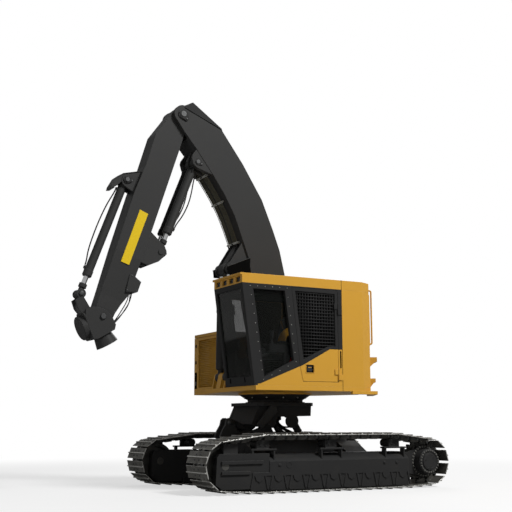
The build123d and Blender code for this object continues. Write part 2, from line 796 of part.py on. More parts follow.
with BuildPart() as slewing_race:
    with BuildSketch(Plane(origin=(SWING_X, 0, 0), x_dir=(1, 0, 0), z_dir=(0, -1, 0))):
        with BuildLine():
            Polyline(  # radius, z
                (RING_RADIUS - 110, RING_HIGH + SEAT),
                (RING_RADIUS, RING_HIGH + SEAT),
                (RACE_RADIUS, RACE_HIGH),
                (RACE_RADIUS, LIP_LOW),
                (RING_RADIUS - 110, LIP_LOW),
                close=True,
            )
        make_face()
    revolve(axis=Axis((SWING_X, 0, 0), (0, 0, 1)))
save(slewing_race.part, "slewing_race")

# ================================================================ deck
CAB_SILL = 1200.0  # the cab's front at the deck, from the swing axis
CHANNEL_FRONT = 1130.0
DECK_OUTLINE = [  # x from the swing axis, y
    (SIDE_END, SIDE_Y),
    (CAB_SILL, SIDE_Y),
    (CAB_SILL, CAB_IN),
    (CHANNEL_FRONT, CAB_IN),
    (CHANNEL_FRONT, HOUSE_IN),
    (HOUSE_FRONT, HOUSE_IN),
    (HOUSE_FRONT, -SIDE_Y),
    (SIDE_END, -SIDE_Y),
    (CORNER[0], -CORNER[1]),
    (HAUNCH[0], -HAUNCH[1]),
    (TAIL_X, 0),
    HAUNCH,
    CORNER,
]
FOOT_WALL = 45.0
with BuildPart() as deck:
    slab(swing(DECK_OUTLINE), DECK_LOW, DECK_HIGH)
    with BuildSketch(Plane.XY.offset(LIP_LOW)):
        with Locations((SWING_X, 0)):
            Circle(LIP_RADIUS)
    extrude(amount=DECK_LOW - LIP_LOW)
    for side in (-1, 1):
        inner = BOOM_HALF + SIDE_GAP
        low, high = sorted((side * inner, side * (inner + FOOT_WALL)))
        plate(
            swing([(-360, DECK_HIGH), (640, DECK_HIGH), (285, FOOT[1]), (15, FOOT[1])]), low, high
        )
        cross_pin(swing([FOOT])[0], 140, low, high)
    for low, high in ear_spans(HOIST_Y, HOIST.eye_half):
        base_x, base_z = HOIST_BASE
        plate(
            swing(
                [
                    (base_x - 150, DECK_HIGH),
                    (base_x + 125, DECK_HIGH),
                    (base_x + 78, base_z),
                    (base_x - 78, base_z),
                ]
            ),
            low,
            high,
        )
        cross_pin(swing([HOIST_BASE])[0], 80, low, high)
    cross_pin(
        swing([FOOT])[0], FOOT_PIN + PIN_GAP, -2 * BOOM_HALF, 2 * BOOM_HALF, Mode.SUBTRACT
    )
    cross_pin(
        swing([HOIST_BASE])[0], PIN_RADIUS + PIN_GAP, -BOOM_HALF, BOOM_HALF, Mode.SUBTRACT
    )
save(deck.part, "deck")

FOOT_PIN_END = BOOM_HALF + SIDE_GAP + FOOT_WALL + 14
HOIST_PIN_END = HOIST_Y + HOIST.eye_half + SIDE_GAP + EAR + 12
with BuildPart() as deck_pins:
    cross_pin(swing([FOOT])[0], FOOT_PIN, -FOOT_PIN_END, FOOT_PIN_END)
    cross_pin(swing([HOIST_BASE])[0], PIN_RADIUS, -HOIST_PIN_END, HOIST_PIN_END)
save(deck_pins.part, "deck_pins")

# ================================================================ cab
FRONT_FOOT = (1224.0, 1678.0)  # the leaning front, from the swing axis
FRONT_HEAD = (1444.0, CAB_TOP)
LEAN = (FRONT_HEAD[0] - FRONT_FOOT[0]) / (FRONT_HEAD[1] - FRONT_FOOT[1])
FRAME_FACE = SIDE_Y + 3.0  # the dark frames stand a little proud


def front_x(z, back=0.0):
    """How far forward the leaning front is at a height, less a distance back."""
    return FRONT_FOOT[0] + (z - FRONT_FOOT[1]) * LEAN - back


DOOR_REAR = -350.0
DOOR_LOW = 1737.0
DOOR_TOP = 3250.0
DOOR_TOE = (327.0, DOOR_LOW)
DOOR_KNEE = (385.0, 1975.0)
DOOR_HEAD = (532.0, DOOR_TOP)
BELT_HIGH = 2270.0  # level part of the dark frame's lower edge
BELT_KINK = (-190.0, BELT_HIGH)
BELT_LOW = (1120.0, 1688.0)
DARK_OUTLINE = [
    FRONT_HEAD,
    FRONT_FOOT,
    BELT_LOW,
    (DOOR_KNEE[0] + PANEL_GAP, DOOR_KNEE[1]),
    (DOOR_HEAD[0] + PANEL_GAP, DOOR_TOP + PANEL_GAP),
    (DOOR_REAR - PANEL_GAP, DOOR_TOP + PANEL_GAP),
    (DOOR_REAR - PANEL_GAP, BELT_HIGH),
    (CAB_REAR, BELT_HIGH),
    (CAB_REAR, CAB_TOP),
]
SIDE_WINDOW = [(1251, 3185), (657, 3189), (506, 2062), (1046, 1803)]
INNER_WINDOW = [(1150, 3120), (150, 3120), (150, 2150), (1010, 2150)]
KNUCKLE = 13.0
HINGE = (DOOR_REAR - PANEL_GAP / 2, FRAME_FACE + KNUCKLE + 1)
KNUCKLE_HALF = 45.0
KNUCKLES = (1900.0, 2980.0)  # heights of the door's knuckles
LEAF = 75.0  # how far a hinge's leaf reaches


def knuckle(middle, reach):
    """Adds one knuckle of the door's hinges, with a leaf that reaches forward or back."""
    with BuildSketch(Plane.XY.offset(middle - KNUCKLE_HALF)) as face:
        with Locations(swing([HINGE])[0]):
            Circle(KNUCKLE)
    extrude(face.sketch, amount=2 * KNUCKLE_HALF)
    root = SWING_X + HINGE[0]
    block(
        sorted((root, root + reach)),
        (SIDE_Y, HINGE[1]),
        (middle - KNUCKLE_HALF, middle + KNUCKLE_HALF),
    )


KNUCKLE_STEP = 2 * KNUCKLE_HALF + PIN_GAP  # from the door's knuckle down to the cab's
with BuildPart() as cab_shell:
    plate(
        swing(
            [
                (CAB_REAR, DECK_HIGH),
                (front_x(DECK_HIGH, WALL), DECK_HIGH),
                (front_x(CAB_TOP, WALL), CAB_TOP),
                (CAB_REAR, CAB_TOP),
            ]
        ),
        CAB_IN,
        SIDE_Y,
    )
    plate(
        swing(
            [
                (CAB_REAR + WALL, DECK_HIGH + WALL),
                (front_x(DECK_HIGH), DECK_HIGH + WALL),
                (front_x(CAB_TOP), CAB_TOP - WALL / 2),
                (CAB_REAR + WALL, CAB_TOP - WALL / 2),
            ]
        ),
        CAB_IN + WALL,
        SIDE_Y - WALL,
        Mode.SUBTRACT,
    )
    plate(swing(DARK_OUTLINE), SIDE_Y - WALL, SIDE_Y, Mode.SUBTRACT)
    plate(
        swing(
            [
                (DOOR_TOE[0] + PANEL_GAP, DOOR_LOW - PANEL_GAP),
                (DOOR_KNEE[0] + PANEL_GAP, DOOR_KNEE[1]),
                (DOOR_HEAD[0] + PANEL_GAP, DOOR_TOP + PANEL_GAP),
                (DOOR_REAR - PANEL_GAP, DOOR_TOP + PANEL_GAP),
                (DOOR_REAR - PANEL_GAP, DOOR_LOW - PANEL_GAP),
            ]
        ),
        SIDE_Y - WALL,
        SIDE_Y,
        Mode.SUBTRACT,
    )
    plate(swing(INNER_WINDOW), CAB_IN, CAB_IN + WALL, Mode.SUBTRACT)
    knuckle(KNUCKLES[0] - KNUCKLE_STEP, -LEAF)
save(cab_shell.part, "cab_shell")

with BuildPart() as side_frame:
    plate(swing(DARK_OUTLINE), SIDE_Y - WALL, FRAME_FACE)
    plate(swing(SIDE_WINDOW), SIDE_Y - WALL, FRAME_FACE, Mode.SUBTRACT)
    knuckle(KNUCKLES[1] - KNUCKLE_STEP, -LEAF)
save(side_frame.part, "side_window_frame")

FRONT_LOW = DECK_HIGH
PANE_LOW = 1800.0
PANE_HIGH = 3190.0
PANE_INSET = 78.0
PANE_THICK = 10.0


def leaning(low, high, back, thick):
    """Outline of a slab in the leaning front: its heights, how far back, how thick."""
    return swing(
        [
            (front_x(low, back), low),
            (front_x(high, back), high),
            (front_x(high, back + thick), high),
            (front_x(low, back + thick), low),
        ]
    )


with BuildPart() as front_frame:
    plate(leaning(FRONT_LOW, CAB_TOP, 0, WALL), CAB_IN, SIDE_Y - WALL)
    plate(
        leaning(PANE_LOW, PANE_HIGH, -WALL, 3 * WALL),
        CAB_IN + PANE_INSET,
        SIDE_Y - PANE_INSET,
        Mode.SUBTRACT,
    )
    # the sill under the side frame closes the corner
    plate(
        leaning(FRONT_LOW, FRONT_FOOT[1], 0, WALL), SIDE_Y - WALL, SIDE_Y
    )
save(front_frame.part, "front_window_frame")

with BuildPart() as front_glass:
    plate(
        leaning(PANE_LOW, PANE_HIGH, 22, PANE_THICK), CAB_IN + PANE_INSET, SIDE_Y - PANE_INSET
    )
save(front_glass.part, "front_glass")

PANE_LAP = 18.0  # how far a pane reaches behind its frame
with BuildPart() as side_glass:
    with BuildSketch(Plane.XZ.offset(-(SIDE_Y - WALL))):
        with BuildLine():
            Polyline(*swing(SIDE_WINDOW), close=True)
        make_face()
        offset(amount=PANE_LAP, kind=Kind.INTERSECTION)
    extrude(amount=8)
    with BuildSketch(Plane.XZ.offset(-(CAB_IN + WALL + 8))):
        with BuildLine():
            Polyline(*swing(INNER_WINDOW), close=True)
        make_face()
        offset(amount=PANE_LAP, kind=Kind.INTERSECTION)
    extrude(amount=8)
save(side_glass.part, "side_glass")

# ---------------------------------------------------------------- the door
DOOR_IN = SIDE_Y - 50.0
MESH_OUTLINE = [(469, 3197), (-298, 3189), (-298, 2313), (-167, 2308), (322, 2086)]
MESH_PITCH = 96.0
MESH_HOLE = 74.0
YELLOW_OUTLINE = [
    DOOR_TOE,
    DOOR_KNEE,
    (332, 1996),
    BELT_KINK,
    (DOOR_REAR, BELT_HIGH),
    (DOOR_REAR, DOOR_LOW),
]
LATCH = [(270, 2002), (125, 2002), (125, 1877), (270, 1877)]


with BuildPart() as side_door:
    plate(swing(YELLOW_OUTLINE), DOOR_IN, SIDE_Y)
    plate(swing(LATCH), SIDE_Y - 26, SIDE_Y, Mode.SUBTRACT)
    block(
        (SWING_X + 165, SWING_X + 230), (SIDE_Y - 26, SIDE_Y - 8), (1905, 1975)
    )
    knuckle(KNUCKLES[0], LEAF)
save(side_door.part, "side_door")

with BuildPart() as door_guard:
    plate(
        swing([DOOR_KNEE, DOOR_HEAD, (DOOR_REAR, DOOR_TOP), (DOOR_REAR, BELT_HIGH), BELT_KINK, (332, 1996)]),
        DOOR_IN,
        FRAME_FACE,
    )
    plate(swing(MESH_OUTLINE), DOOR_IN, FRAME_FACE, Mode.SUBTRACT)
    knuckle(KNUCKLES[1], LEAF)
save(door_guard.part, "door_guard")

with BuildPart() as door_mesh:
    with BuildSketch(Plane.XZ.offset(-(DOOR_IN + 24))):
        with BuildLine():
            Polyline(*swing(MESH_OUTLINE), close=True)
        make_face()
    extrude(amount=8)
    with BuildSketch(Plane.XZ.offset(-(DOOR_IN + 24))) as holes:
        with Locations((SWING_X + 86, 2650)):
            with GridLocations(MESH_PITCH, MESH_PITCH, 8, 11):
                Rectangle(MESH_HOLE, MESH_HOLE)
    with BuildSketch(Plane.XZ.offset(-(DOOR_IN + 24))) as border:
        with BuildLine():
            Polyline(*swing(MESH_OUTLINE), close=True)
        make_face()
        offset(amount=-10, kind=Kind.INTERSECTION)
    extrude(holes.sketch & border.sketch, amount=8, mode=Mode.SUBTRACT)
save(door_mesh.part, "door_mesh")

# ================================================================ roof and lamps
ROOF_LIP = 3395.0
ROOF_FRONT = 1476.0
LAMP_COUNT = 4
LAMP_PITCH = 235.0
LAMP_WIDE = 150.0
LAMP_LOW = 3292.0
LAMP_HIGH = 3378.0
LAMP_DEEP = 90.0
TALL_REAR = HAUNCH[0] + (CAB_IN - HAUNCH[1]) * (HAUNCH[0] - TAIL_X) / HAUNCH[1]
TALL_OUTLINE = [  # plan of what stands behind the cab, under the same roof
    (CAB_REAR, SIDE_Y),
    (SIDE_END, SIDE_Y),
    CORNER,
    HAUNCH,
    (TALL_REAR, CAB_IN),
    (CAB_REAR, CAB_IN),
]
LAMPS = [
    (CAB_IN + SIDE_Y) / 2 + (i - (LAMP_COUNT - 1) / 2) * LAMP_PITCH for i in range(LAMP_COUNT)
]
with BuildPart() as cab_roof:
    slab(
        swing([(FRONT_HEAD[0], SIDE_Y)] + TALL_OUTLINE[1:-1] + [(FRONT_HEAD[0], CAB_IN)]),
        CAB_TOP,
        ROOF_LIP,
    )
    slab(
        swing([(ROOF_FRONT, SIDE_Y)] + TALL_OUTLINE[1:-1] + [(ROOF_FRONT, CAB_IN)]),
        ROOF_LIP,
        ROOF_TOP,
    )
    fillet(cab_roof.edges().group_by(Axis.Z)[-1], radius=8)
    for y in LAMPS:
        block(
            (SWING_X + FRONT_HEAD[0] - LAMP_DEEP, SWING_X + FRONT_HEAD[0]),
            (y - LAMP_WIDE / 2, y + LAMP_WIDE / 2),
            (LAMP_LOW, LAMP_HIGH),
            Mode.SUBTRACT,
        )
save(cab_roof.part, "cab_roof")

with BuildPart() as work_lights:
    for y in LAMPS:
        block(
            (SWING_X + FRONT_HEAD[0] - LAMP_DEEP, SWING_X + FRONT_HEAD[0] - 30),
            (y - LAMP_WIDE / 2 + 8, y + LAMP_WIDE / 2 - 8),
            (LAMP_LOW, LAMP_HIGH - 8),
        )
save(work_lights.part, "work_lights")

# ================================================================ inside the cab
CHAIR = (560.0, 992.0)  # middle of the cushion: x from the swing axis, y
FLOOR = DECK_HIGH + WALL
with BuildPart() as chair:
    x, y = SWING_X + CHAIR[0], CHAIR[1]
    block((x - 200, x + 180), (y - 190, y + 190), (FLOOR, FLOOR + 90))
    block((x - 140, x + 120), (y - 130, y + 130), (FLOOR + 90, FLOOR + 330))
    block((x - 240, x + 260), (y - 250, y + 250), (FLOOR + 330, FLOOR + 470))
    plate(
        [
            (x - 240, FLOOR + 420),
            (x - 130, FLOOR + 470),
            (x - 230, FLOOR + 1120),
            (x - 340, FLOOR + 1120),
        ],
        y - 240,
        y + 240,
    )
    plate(
        [
            (x - 250, FLOOR + 1120),
            (x - 330, FLOOR + 1120),
            (x - 355, FLOOR + 1330),
            (x - 275, FLOOR + 1330),
        ],
        y - 140,
        y + 140,
    )
save(chair.part, "operator_chair")

with BuildPart() as consoles:
    for side in (-1, 1):
        y = CHAIR[1] + side * 325
        block((x - 180, x + 330), (y - 65, y + 65), (FLOOR + 480, FLOOR + 600))
        block((x - 60, x + 40), (y - 50, y + 50), (FLOOR, FLOOR + 480))
        with BuildSketch(Plane.XY.offset(FLOOR + 600)) as lever:
            with Locations((x + 250, y)):
                Circle(16)
        extrude(lever.sketch, amount=90)
        with BuildSketch(Plane.XY.offset(FLOOR + 690)) as grip:
            with Locations((x + 250, y)):
                Circle(27)
        extrude(grip.sketch, amount=120, taper=4)
save(consoles.part, "control_consoles")

# ================================================================ rear of the house
with BuildPart() as rear_body:
    slab(swing(TALL_OUTLINE), DECK_HIGH, CAB_TOP)
save(rear_body.part, "rear_body")

HOOD_HINGE = (SIDE_END + PANEL_GAP / 2, HOUSE_TOP + 15.0)  # x from the swing axis, z
HOOD_HINGE_Y = (-1310.0, -750.0)  # right end of each of the hood's knuckles
HOOD_KNUCKLE = 110.0  # its length
HOOD_LEAF = 90.0


def hood_knuckle(low, high, reach):
    """Adds one knuckle of the hood's hinges, with a leaf that reaches forward or back."""
    root = SWING_X + HOOD_HINGE[0]
    cross_pin((root, HOOD_HINGE[1]), 14, low, high)
    block(sorted((root, root + reach)), (low, high), (HOUSE_TOP, HOUSE_TOP + 9))


with BuildPart() as counterweight:
    slab(
        swing(
            [
                (SIDE_END, CAB_IN),
                (TALL_REAR, CAB_IN),
                (TAIL_X, 0),
                (HAUNCH[0], -HAUNCH[1]),
                (CORNER[0], -CORNER[1]),
                (SIDE_END, -SIDE_Y),
            ]
        ),
        DECK_HIGH,
        HOUSE_TOP,
    )
    chamfer(counterweight.edges().group_by(Axis.Z)[-1].sort_by(Axis.X)[:-1], length=40)
    for y in HOOD_HINGE_Y:
        hood_knuckle(y + HOOD_KNUCKLE + PIN_GAP, y + 2 * HOOD_KNUCKLE, -HOOD_LEAF)
save(counterweight.part, "counterweight")

with BuildPart() as tank:
    block(
        (SWING_X + SIDE_END, SWING_X + TANK_FRONT), (HOUSE_IN, CAB_IN), (DECK_HIGH, TANK_TOP)
    )
    fillet(tank.edges().group_by(Axis.Z)[-1], radius=30)
save(tank.part, "hydraulic_tank")

# ================================================================ engine side
HOOD_LOW = HOUSE_TOP - 55.0
GRILLE_Y = (-1300.0, -520.0)
GRILLE_Z = (1720.0, 2580.0)
with BuildPart() as engine_housing:
    block(
        (SWING_X + SIDE_END, SWING_X + HOUSE_FRONT),
        (-SIDE_Y, HOUSE_IN),
        (DECK_HIGH, HOOD_LOW - PANEL_GAP),
    )
    block(
        (SWING_X + SIDE_END + SHEET, SWING_X + HOUSE_FRONT - SHEET),
        (-SIDE_Y + SHEET, HOUSE_IN - SHEET),
        (DECK_HIGH, HOOD_LOW),
        Mode.SUBTRACT,
    )
    block(
        (SWING_X + HOUSE_FRONT - SHEET, SWING_X + HOUSE_FRONT), GRILLE_Y, GRILLE_Z, Mode.SUBTRACT
    )
save(engine_housing.part, "engine_housing")

with BuildPart() as engine_grille:
    block((SWING_X + HOUSE_FRONT - 24, SWING_X + HOUSE_FRONT - 12), GRILLE_Y, GRILLE_Z)
    with BuildSketch(Plane.YZ.offset(SWING_X + HOUSE_FRONT - 24)):
        with Locations(((GRILLE_Y[0] + GRILLE_Y[1]) / 2, (GRILLE_Z[0] + GRILLE_Z[1]) / 2)):
            with GridLocations(MESH_PITCH, MESH_PITCH, 7, 8):
                Rectangle(MESH_HOLE, MESH_HOLE)
    extrude(amount=12, mode=Mode.SUBTRACT)
save(engine_grille.part, "engine_grille")

with BuildPart() as engine_hood:
    block(
        (SWING_X + SIDE_END + PANEL_GAP, SWING_X + HOUSE_FRONT + 6),
        (-SIDE_Y - 6, HOUSE_IN + 6),
        (HOOD_LOW, HOUSE_TOP),
    )
    fillet(engine_hood.edges().filter_by(Axis.Z), radius=30)
    for y in HOOD_HINGE_Y:
        hood_knuckle(y, y + HOOD_KNUCKLE, HOOD_LEAF)
save(engine_hood.part, "engine_hood")

with BuildPart() as engine_block:
    block(
        (SWING_X - 620, SWING_X + 480), (-1300, -640), (DECK_HIGH, 2420)
    )
save(engine_block.part, "engine_block")

# ================================================================ steps and handrail
# They stand on the slanting face behind the cab, which runs from CORNER to HAUNCH.
FACE_RUN = (HAUNCH[0] - CORNER[0], HAUNCH[1] - CORNER[1])
FACE_LONG = hypot(*FACE_RUN)
FACE_OUT = (FACE_RUN[1] / FACE_LONG, -FACE_RUN[0] / FACE_LONG)
STEP_MID = between(CORNER, HAUNCH, 0.4)
STEP_HALF = 190.0
STEPS = ((2105.0, 2181.0, 130.0), (1756.0, 1820.0, 100.0))  # under, tread, depth
RAIL_SPAN = (2400.0, 3320.0)
RAIL_OFF = 46.0
RAIL_TUBE = 14.0
step_plane = Plane(
    origin=(SWING_X + STEP_MID[0], STEP_MID[1], 0),
    x_dir=(FACE_OUT[0], FACE_OUT[1], 0),
    z_dir=(0, 0, 1),
)
with BuildPart() as steps:
    for under, tread, deep in STEPS:
        with BuildSketch(step_plane.offset(under)) as top:
            with Locations((deep / 2, 0)):
                Rectangle(deep, 2 * STEP_HALF)
        extrude(top.sketch, amount=tread - under)
        for across in (-STEP_HALF, STEP_HALF - 10):
            side = Plane(
                origin=step_plane.from_local_coords((0, across, 0)),
                x_dir=step_plane.x_dir,
                z_dir=-step_plane.y_dir,
            )
            with BuildSketch(side) as brace:
                with BuildLine():
                    Polyline((0, under), (deep - 25, under), (0, under - 95), close=True)
                make_face()
            extrude(brace.sketch, amount=-10)
save(steps.part, "steps")

with BuildPart() as handrail:
    for across in (-STEP_HALF - 40, STEP_HALF + 40):
        plane = Plane(
            origin=step_plane.from_local_coords((0, across, 0)),
            x_dir=step_plane.x_dir,
            z_dir=-step_plane.y_dir,
        )
        with BuildLine(plane) as route:
            FilletPolyline(
                (0, RAIL_SPAN[0]),
                (RAIL_OFF, RAIL_SPAN[0]),
                (RAIL_OFF, RAIL_SPAN[1]),
                (0, RAIL_SPAN[1]),
                radius=30,
            )
        start = Plane(origin=route.line @ 0, z_dir=route.line % 0)
        with BuildSketch(start) as tube:
            Circle(RAIL_TUBE)
        sweep(tube.sketch, path=route.line)
save(handrail.part, "handrail")

# ================================================================ boom
ELBOW_RADIUS = 160.0
FORK_HALF = STICK_HALF + SIDE_GAP
BOOM_OUTLINE = [  # from the swing axis: the back of the boom up, then its belly down
    (0, 2150),
    (-38, 2700),
    (-72, 3250),
    (-54, 3669),
    (45, 4088),
    (180, 4447),
    (404, 4976),
    (783, 5577),
    (1189, 6124),
    (1203, 6175),
    (1760, 6564),
    (1917, 6479),
    (2080, 6240),
    (1917, 6015),
    (1680, 5731),
    (1358, 5306),
    (1135, 4982),
    (939, 4629),
    (781, 4214),
    (667, 3909),
    (590, 3450),
    (490, 2900),
    (300, 2150),
]
HOIST_EAR = [  # the ears under the boom that the hoist rams push on
    (760, 4214),
    (1042, 3768),
    (1075, 3720),
    (1060, 3640),
    (718, 3640),
    (590, 3700),
]
CAP = [(1189, 6147), (1770, 6415), (1770, 6700), (1100, 6700)]  # set in from the sides
CAP_INSET = 40.0
CROWD_EAR = [(1680, 5731), (1750, 5560), (1700, 5430), (1358, 5306), (1300, 5400), (1560, 5731)]
FORK = [  # what the stick's root needs between the fork's plates
    (1775, 6330),
    (1790, 6100),
    (1835, 5900),
    (1835, 5600),
    (2300, 5600),
    (2300, 6520),
    (2000, 6520),
]
with BuildPart() as boom:
    plate(swing(BOOM_OUTLINE), -BOOM_HALF, BOOM_HALF)
    cross_pin(swing([FOOT])[0], 150, -BOOM_HALF, BOOM_HALF)
    cross_pin(swing([ELBOW])[0], ELBOW_RADIUS, -BOOM_HALF, BOOM_HALF)
    plate(swing(FORK), -FORK_HALF, FORK_HALF, Mode.SUBTRACT)
    cross_pin(swing([ELBOW])[0], ELBOW_RADIUS + 15, -FORK_HALF, FORK_HALF, Mode.SUBTRACT)
    for side in (-1, 1):
        low, high = sorted((side * (BOOM_HALF - CAP_INSET), side * (BOOM_HALF + 1)))
        plate(swing(CAP), low, high, Mode.SUBTRACT)
    for low, high in ear_spans(HOIST_Y, HOIST.eye_half):
        plate(swing(HOIST_EAR), low, high)
        cross_pin(swing([HOIST_EYE])[0], 108, low, high)
    for low, high in ear_spans(CROWD_Y, CROWD.eye_half):
        plate(swing(CROWD_EAR), low, high)
        cross_pin(swing([CROWD_BASE])[0], 95, low, high)
    cross_pin(
        swing([FOOT])[0], FOOT_PIN + PIN_GAP, -BOOM_HALF, BOOM_HALF, Mode.SUBTRACT
    )
    cross_pin(
        swing([ELBOW])[0], FOOT_PIN + PIN_GAP, -BOOM_HALF, BOOM_HALF, Mode.SUBTRACT
    )
    cross_pin(
        swing([CROWD_BASE])[0], PIN_RADIUS + PIN_GAP, -BOOM_HALF, BOOM_HALF, Mode.SUBTRACT
    )
save(boom.part, "boom")

HEAD = 16.0  # how far a pin's head stands off its ear
HOIST_EAR_OUT = HOIST_Y + HOIST.eye_half + SIDE_GAP + EAR
CROWD_EAR_OUT = CROWD_Y + CROWD.eye_half + SIDE_GAP + EAR
with BuildPart() as boom_pins:
    cross_pin(swing([ELBOW])[0], FOOT_PIN, -BOOM_HALF - HEAD, BOOM_HALF + HEAD)
    cross_pin(swing([CROWD_BASE])[0], PIN_RADIUS, -CROWD_EAR_OUT - HEAD, CROWD_EAR_OUT + HEAD)
    for side in (-1, 1):
        for place, face, radius in (
            (ELBOW, BOOM_HALF, 92),
            (CROWD_BASE, CROWD_EAR_OUT, 68),
            (HOIST_EYE, HOIST_EAR_OUT, 74),
        ):
            low, high = sorted((side * face, side * (face + HEAD)))
            cross_pin(swing([place])[0], radius, low, high)
save(boom_pins.part, "boom_pins")

# ================================================================ stick
STICK_OUTLINE = [  # from the swing axis: the front down, then the back up
    (2080, 6390),
    (2409, 5932),
    (2588, 5347),
    (2778, 4875),
    (3379, 2900),
    (3200, 2660),
    (3110, 2700),
    (3057, 2820),
    (2958, 2971),
    (2829, 3133),
    (2690, 3554),
    (2646, 3694),
    (2451, 4264),
    (2251, 4869),
    (1985, 5673),
    (1887, 5994),
    (1800, 6300),
]
STICK_TIP = 120.0
STICK_RUN = (WRIST[0] - ELBOW[0], WRIST[1] - ELBOW[1])
STICK_LONG = hypot(*STICK_RUN)
TAPER_START = 2680.0  # down the stick from the elbow
TAPER_END = 3450.0
CROWD_LUG = [
    (2470, 4215),
    (2215, 3985),
    (2180, 3862),
    (2326, 3726),
    (2498, 3650),
    (2646, 3694),
    (2700, 3900),
]
HOSE_COVER = [(2830, 3475), (2783, 3475), (2632, 3358), (2690, 3188), (2893, 3184)]
HOSE_COVER_HALF = 198.0
TILT_LUG = [(2640, 5240), (2945, 5165), (2985, 5060), (2950, 4985), (2772, 4880), (2690, 5000)]
TILT_EAR = 34.0


def tilt_spans():
    """The y spans of the two plates on either side of the tilt ram."""
    inner = TILT.eye_half + SIDE_GAP
    return [(-inner - TILT_EAR, -inner), (inner, inner + TILT_EAR)]


with BuildPart() as stick:
    plate(swing(STICK_OUTLINE), -STICK_HALF, STICK_HALF)
    cross_pin(swing([ELBOW])[0], ELBOW_RADIUS - 10, -STICK_HALF, STICK_HALF)
    cross_pin(swing([WRIST])[0], STICK_TIP, -STICK_HALF, STICK_HALF)
    down_stick = Plane(
        origin=(SWING_X + ELBOW[0], 0, ELBOW[1]),
        x_dir=(STICK_RUN[0], 0, STICK_RUN[1]),
        z_dir=(STICK_RUN[1], 0, -STICK_RUN[0]),
    )
    with BuildSketch(down_stick):
        with BuildLine():
            Polyline(
                (-400, -STICK_HALF),
                (TAPER_START, -STICK_HALF),
                (TAPER_END, -STICK_TIP_HALF),
                (STICK_LONG + 300, -STICK_TIP_HALF),
                (STICK_LONG + 300, STICK_TIP_HALF),
                (TAPER_END, STICK_TIP_HALF),
                (TAPER_START, STICK_HALF),
                (-400, STICK_HALF),
                close=True,
            )
        make_face()
    extrude(amount=700, both=True, mode=Mode.INTERSECT)
    for low, high in ear_spans(CROWD_Y, CROWD.eye_half):
        plate(swing(CROWD_LUG), low, high)
        cross_pin(swing([CROWD_EYE])[0], 100, low, high)
    for low, high in tilt_spans():
        plate(swing(TILT_LUG), low, high)
        cross_pin(swing([TILT_BASE])[0], 95, low, high)
    plate(swing(HOSE_COVER), -HOSE_COVER_HALF, HOSE_COVER_HALF)
    cross_pin(
        swing([ELBOW])[0], FOOT_PIN + PIN_GAP, -BOOM_HALF, BOOM_HALF, Mode.SUBTRACT
    )
    for place in (WRIST, TILT_BASE):
        cross_pin(
            swing([place])[0], PIN_RADIUS + PIN_GAP, -BOOM_HALF, BOOM_HALF, Mode.SUBTRACT
        )
save(stick.part, "stick")

# ================================================================ wrist
WRIST_IN = STICK_TIP_HALF + SIDE_GAP
WRIST_OUT = WRIST_IN + 40.0
TILT_EAR_OUT = TILT.eye_half + SIDE_GAP + TILT_EAR
SKIRT_TOP = (3205.0, 2478.0)  # middle of the skirt's top, from the swing axis
SKIRT_DIR = (-0.5, -0.866)
SKIRT_LONG = 170.0
SKIRT_POCKET = 60.0  # the head's flange seats this far up inside it
HEAD_CIRCLE = 250.0  # bolt circle for the working head
HEAD_BOLTS = 8
HEAD_HOLE = 11.0


def skirt_seat(across):
    """A point on the face that the skirt hangs from, forward of its middle."""
    return SKIRT_TOP[0] - across * SKIRT_DIR[1], SKIRT_TOP[1] + across * SKIRT_DIR[0]


WRIST_OUTLINE = [  # side plate, from the swing axis
    (3560, 2860),
    (3469, 2909),
    (3357, 2904),
    (3260, 2879),
    (3124, 2778),
    (3050, 2640),
    skirt_seat(-160),
    skirt_seat(160),
    (3414, 2396),
    (3557, 2720),
]
WRIST_BOX = [
    (3505, 2850),
    (3540, 2715),
    (3410, 2400),
    skirt_seat(160),
    skirt_seat(-60),
    (3330, 2560),
    (3440, 2700),
]
TILT_HORN = [
    (3520, 2720),
    (3440, 2840),
    (3469, 2909),
    (3568, 3060),
    (3640, 3060),
    (3706, 3011),
    (3660, 2880),
]
DRUM_OUT_DIR = (0.917, -0.399)  # the drum's axis, forward and down
DRUM_FACE = (3590.0, 2560.0)
DRUM_LONG = 130.0
with BuildPart() as wrist_bracket:
    for side in (-1, 1):
        low, high = sorted((side * WRIST_IN, side * WRIST_OUT))
        plate(swing(WRIST_OUTLINE), low, high)
        cross_pin(swing([WRIST])[0], 115, low, high)
    plate(swing(WRIST_BOX), -WRIST_IN, WRIST_IN)
    for low, high in tilt_spans():
        plate(swing(TILT_HORN), low, high)
        cross_pin(swing([TILT_EYE])[0], 76, low, high)
    cross_pin(
        swing([WRIST])[0], PIN_RADIUS + PIN_GAP, -WRIST_OUT, WRIST_OUT, Mode.SUBTRACT
    )
    # the squarish flange behind the drum
    drum_plane = Plane(
        origin=(
            SWING_X + DRUM_FACE[0] - DRUM_OUT_DIR[0] * DRUM_LONG,
            0,
            DRUM_FACE[1] - DRUM_OUT_DIR[1] * DRUM_LONG,
        ),
        x_dir=(0, 1, 0),
        z_dir=(DRUM_OUT_DIR[0], 0, DRUM_OUT_DIR[1]),
    )
    with BuildSketch(drum_plane.offset(-60)):
        RectangleRounded(384, 470, 70)
    extrude(amount=100)
save(wrist_bracket.part, "wrist_bracket")

with BuildPart() as wrist_drum:
    with BuildSketch(drum_plane.offset(40)):
        Circle(200)
    extrude(amount=DRUM_LONG - 40)
    chamfer(wrist_drum.edges().filter_by(GeomType.CIRCLE).sort_by(Axis.X)[-1:], length=12)
save(wrist_drum.part, "wrist_drum")

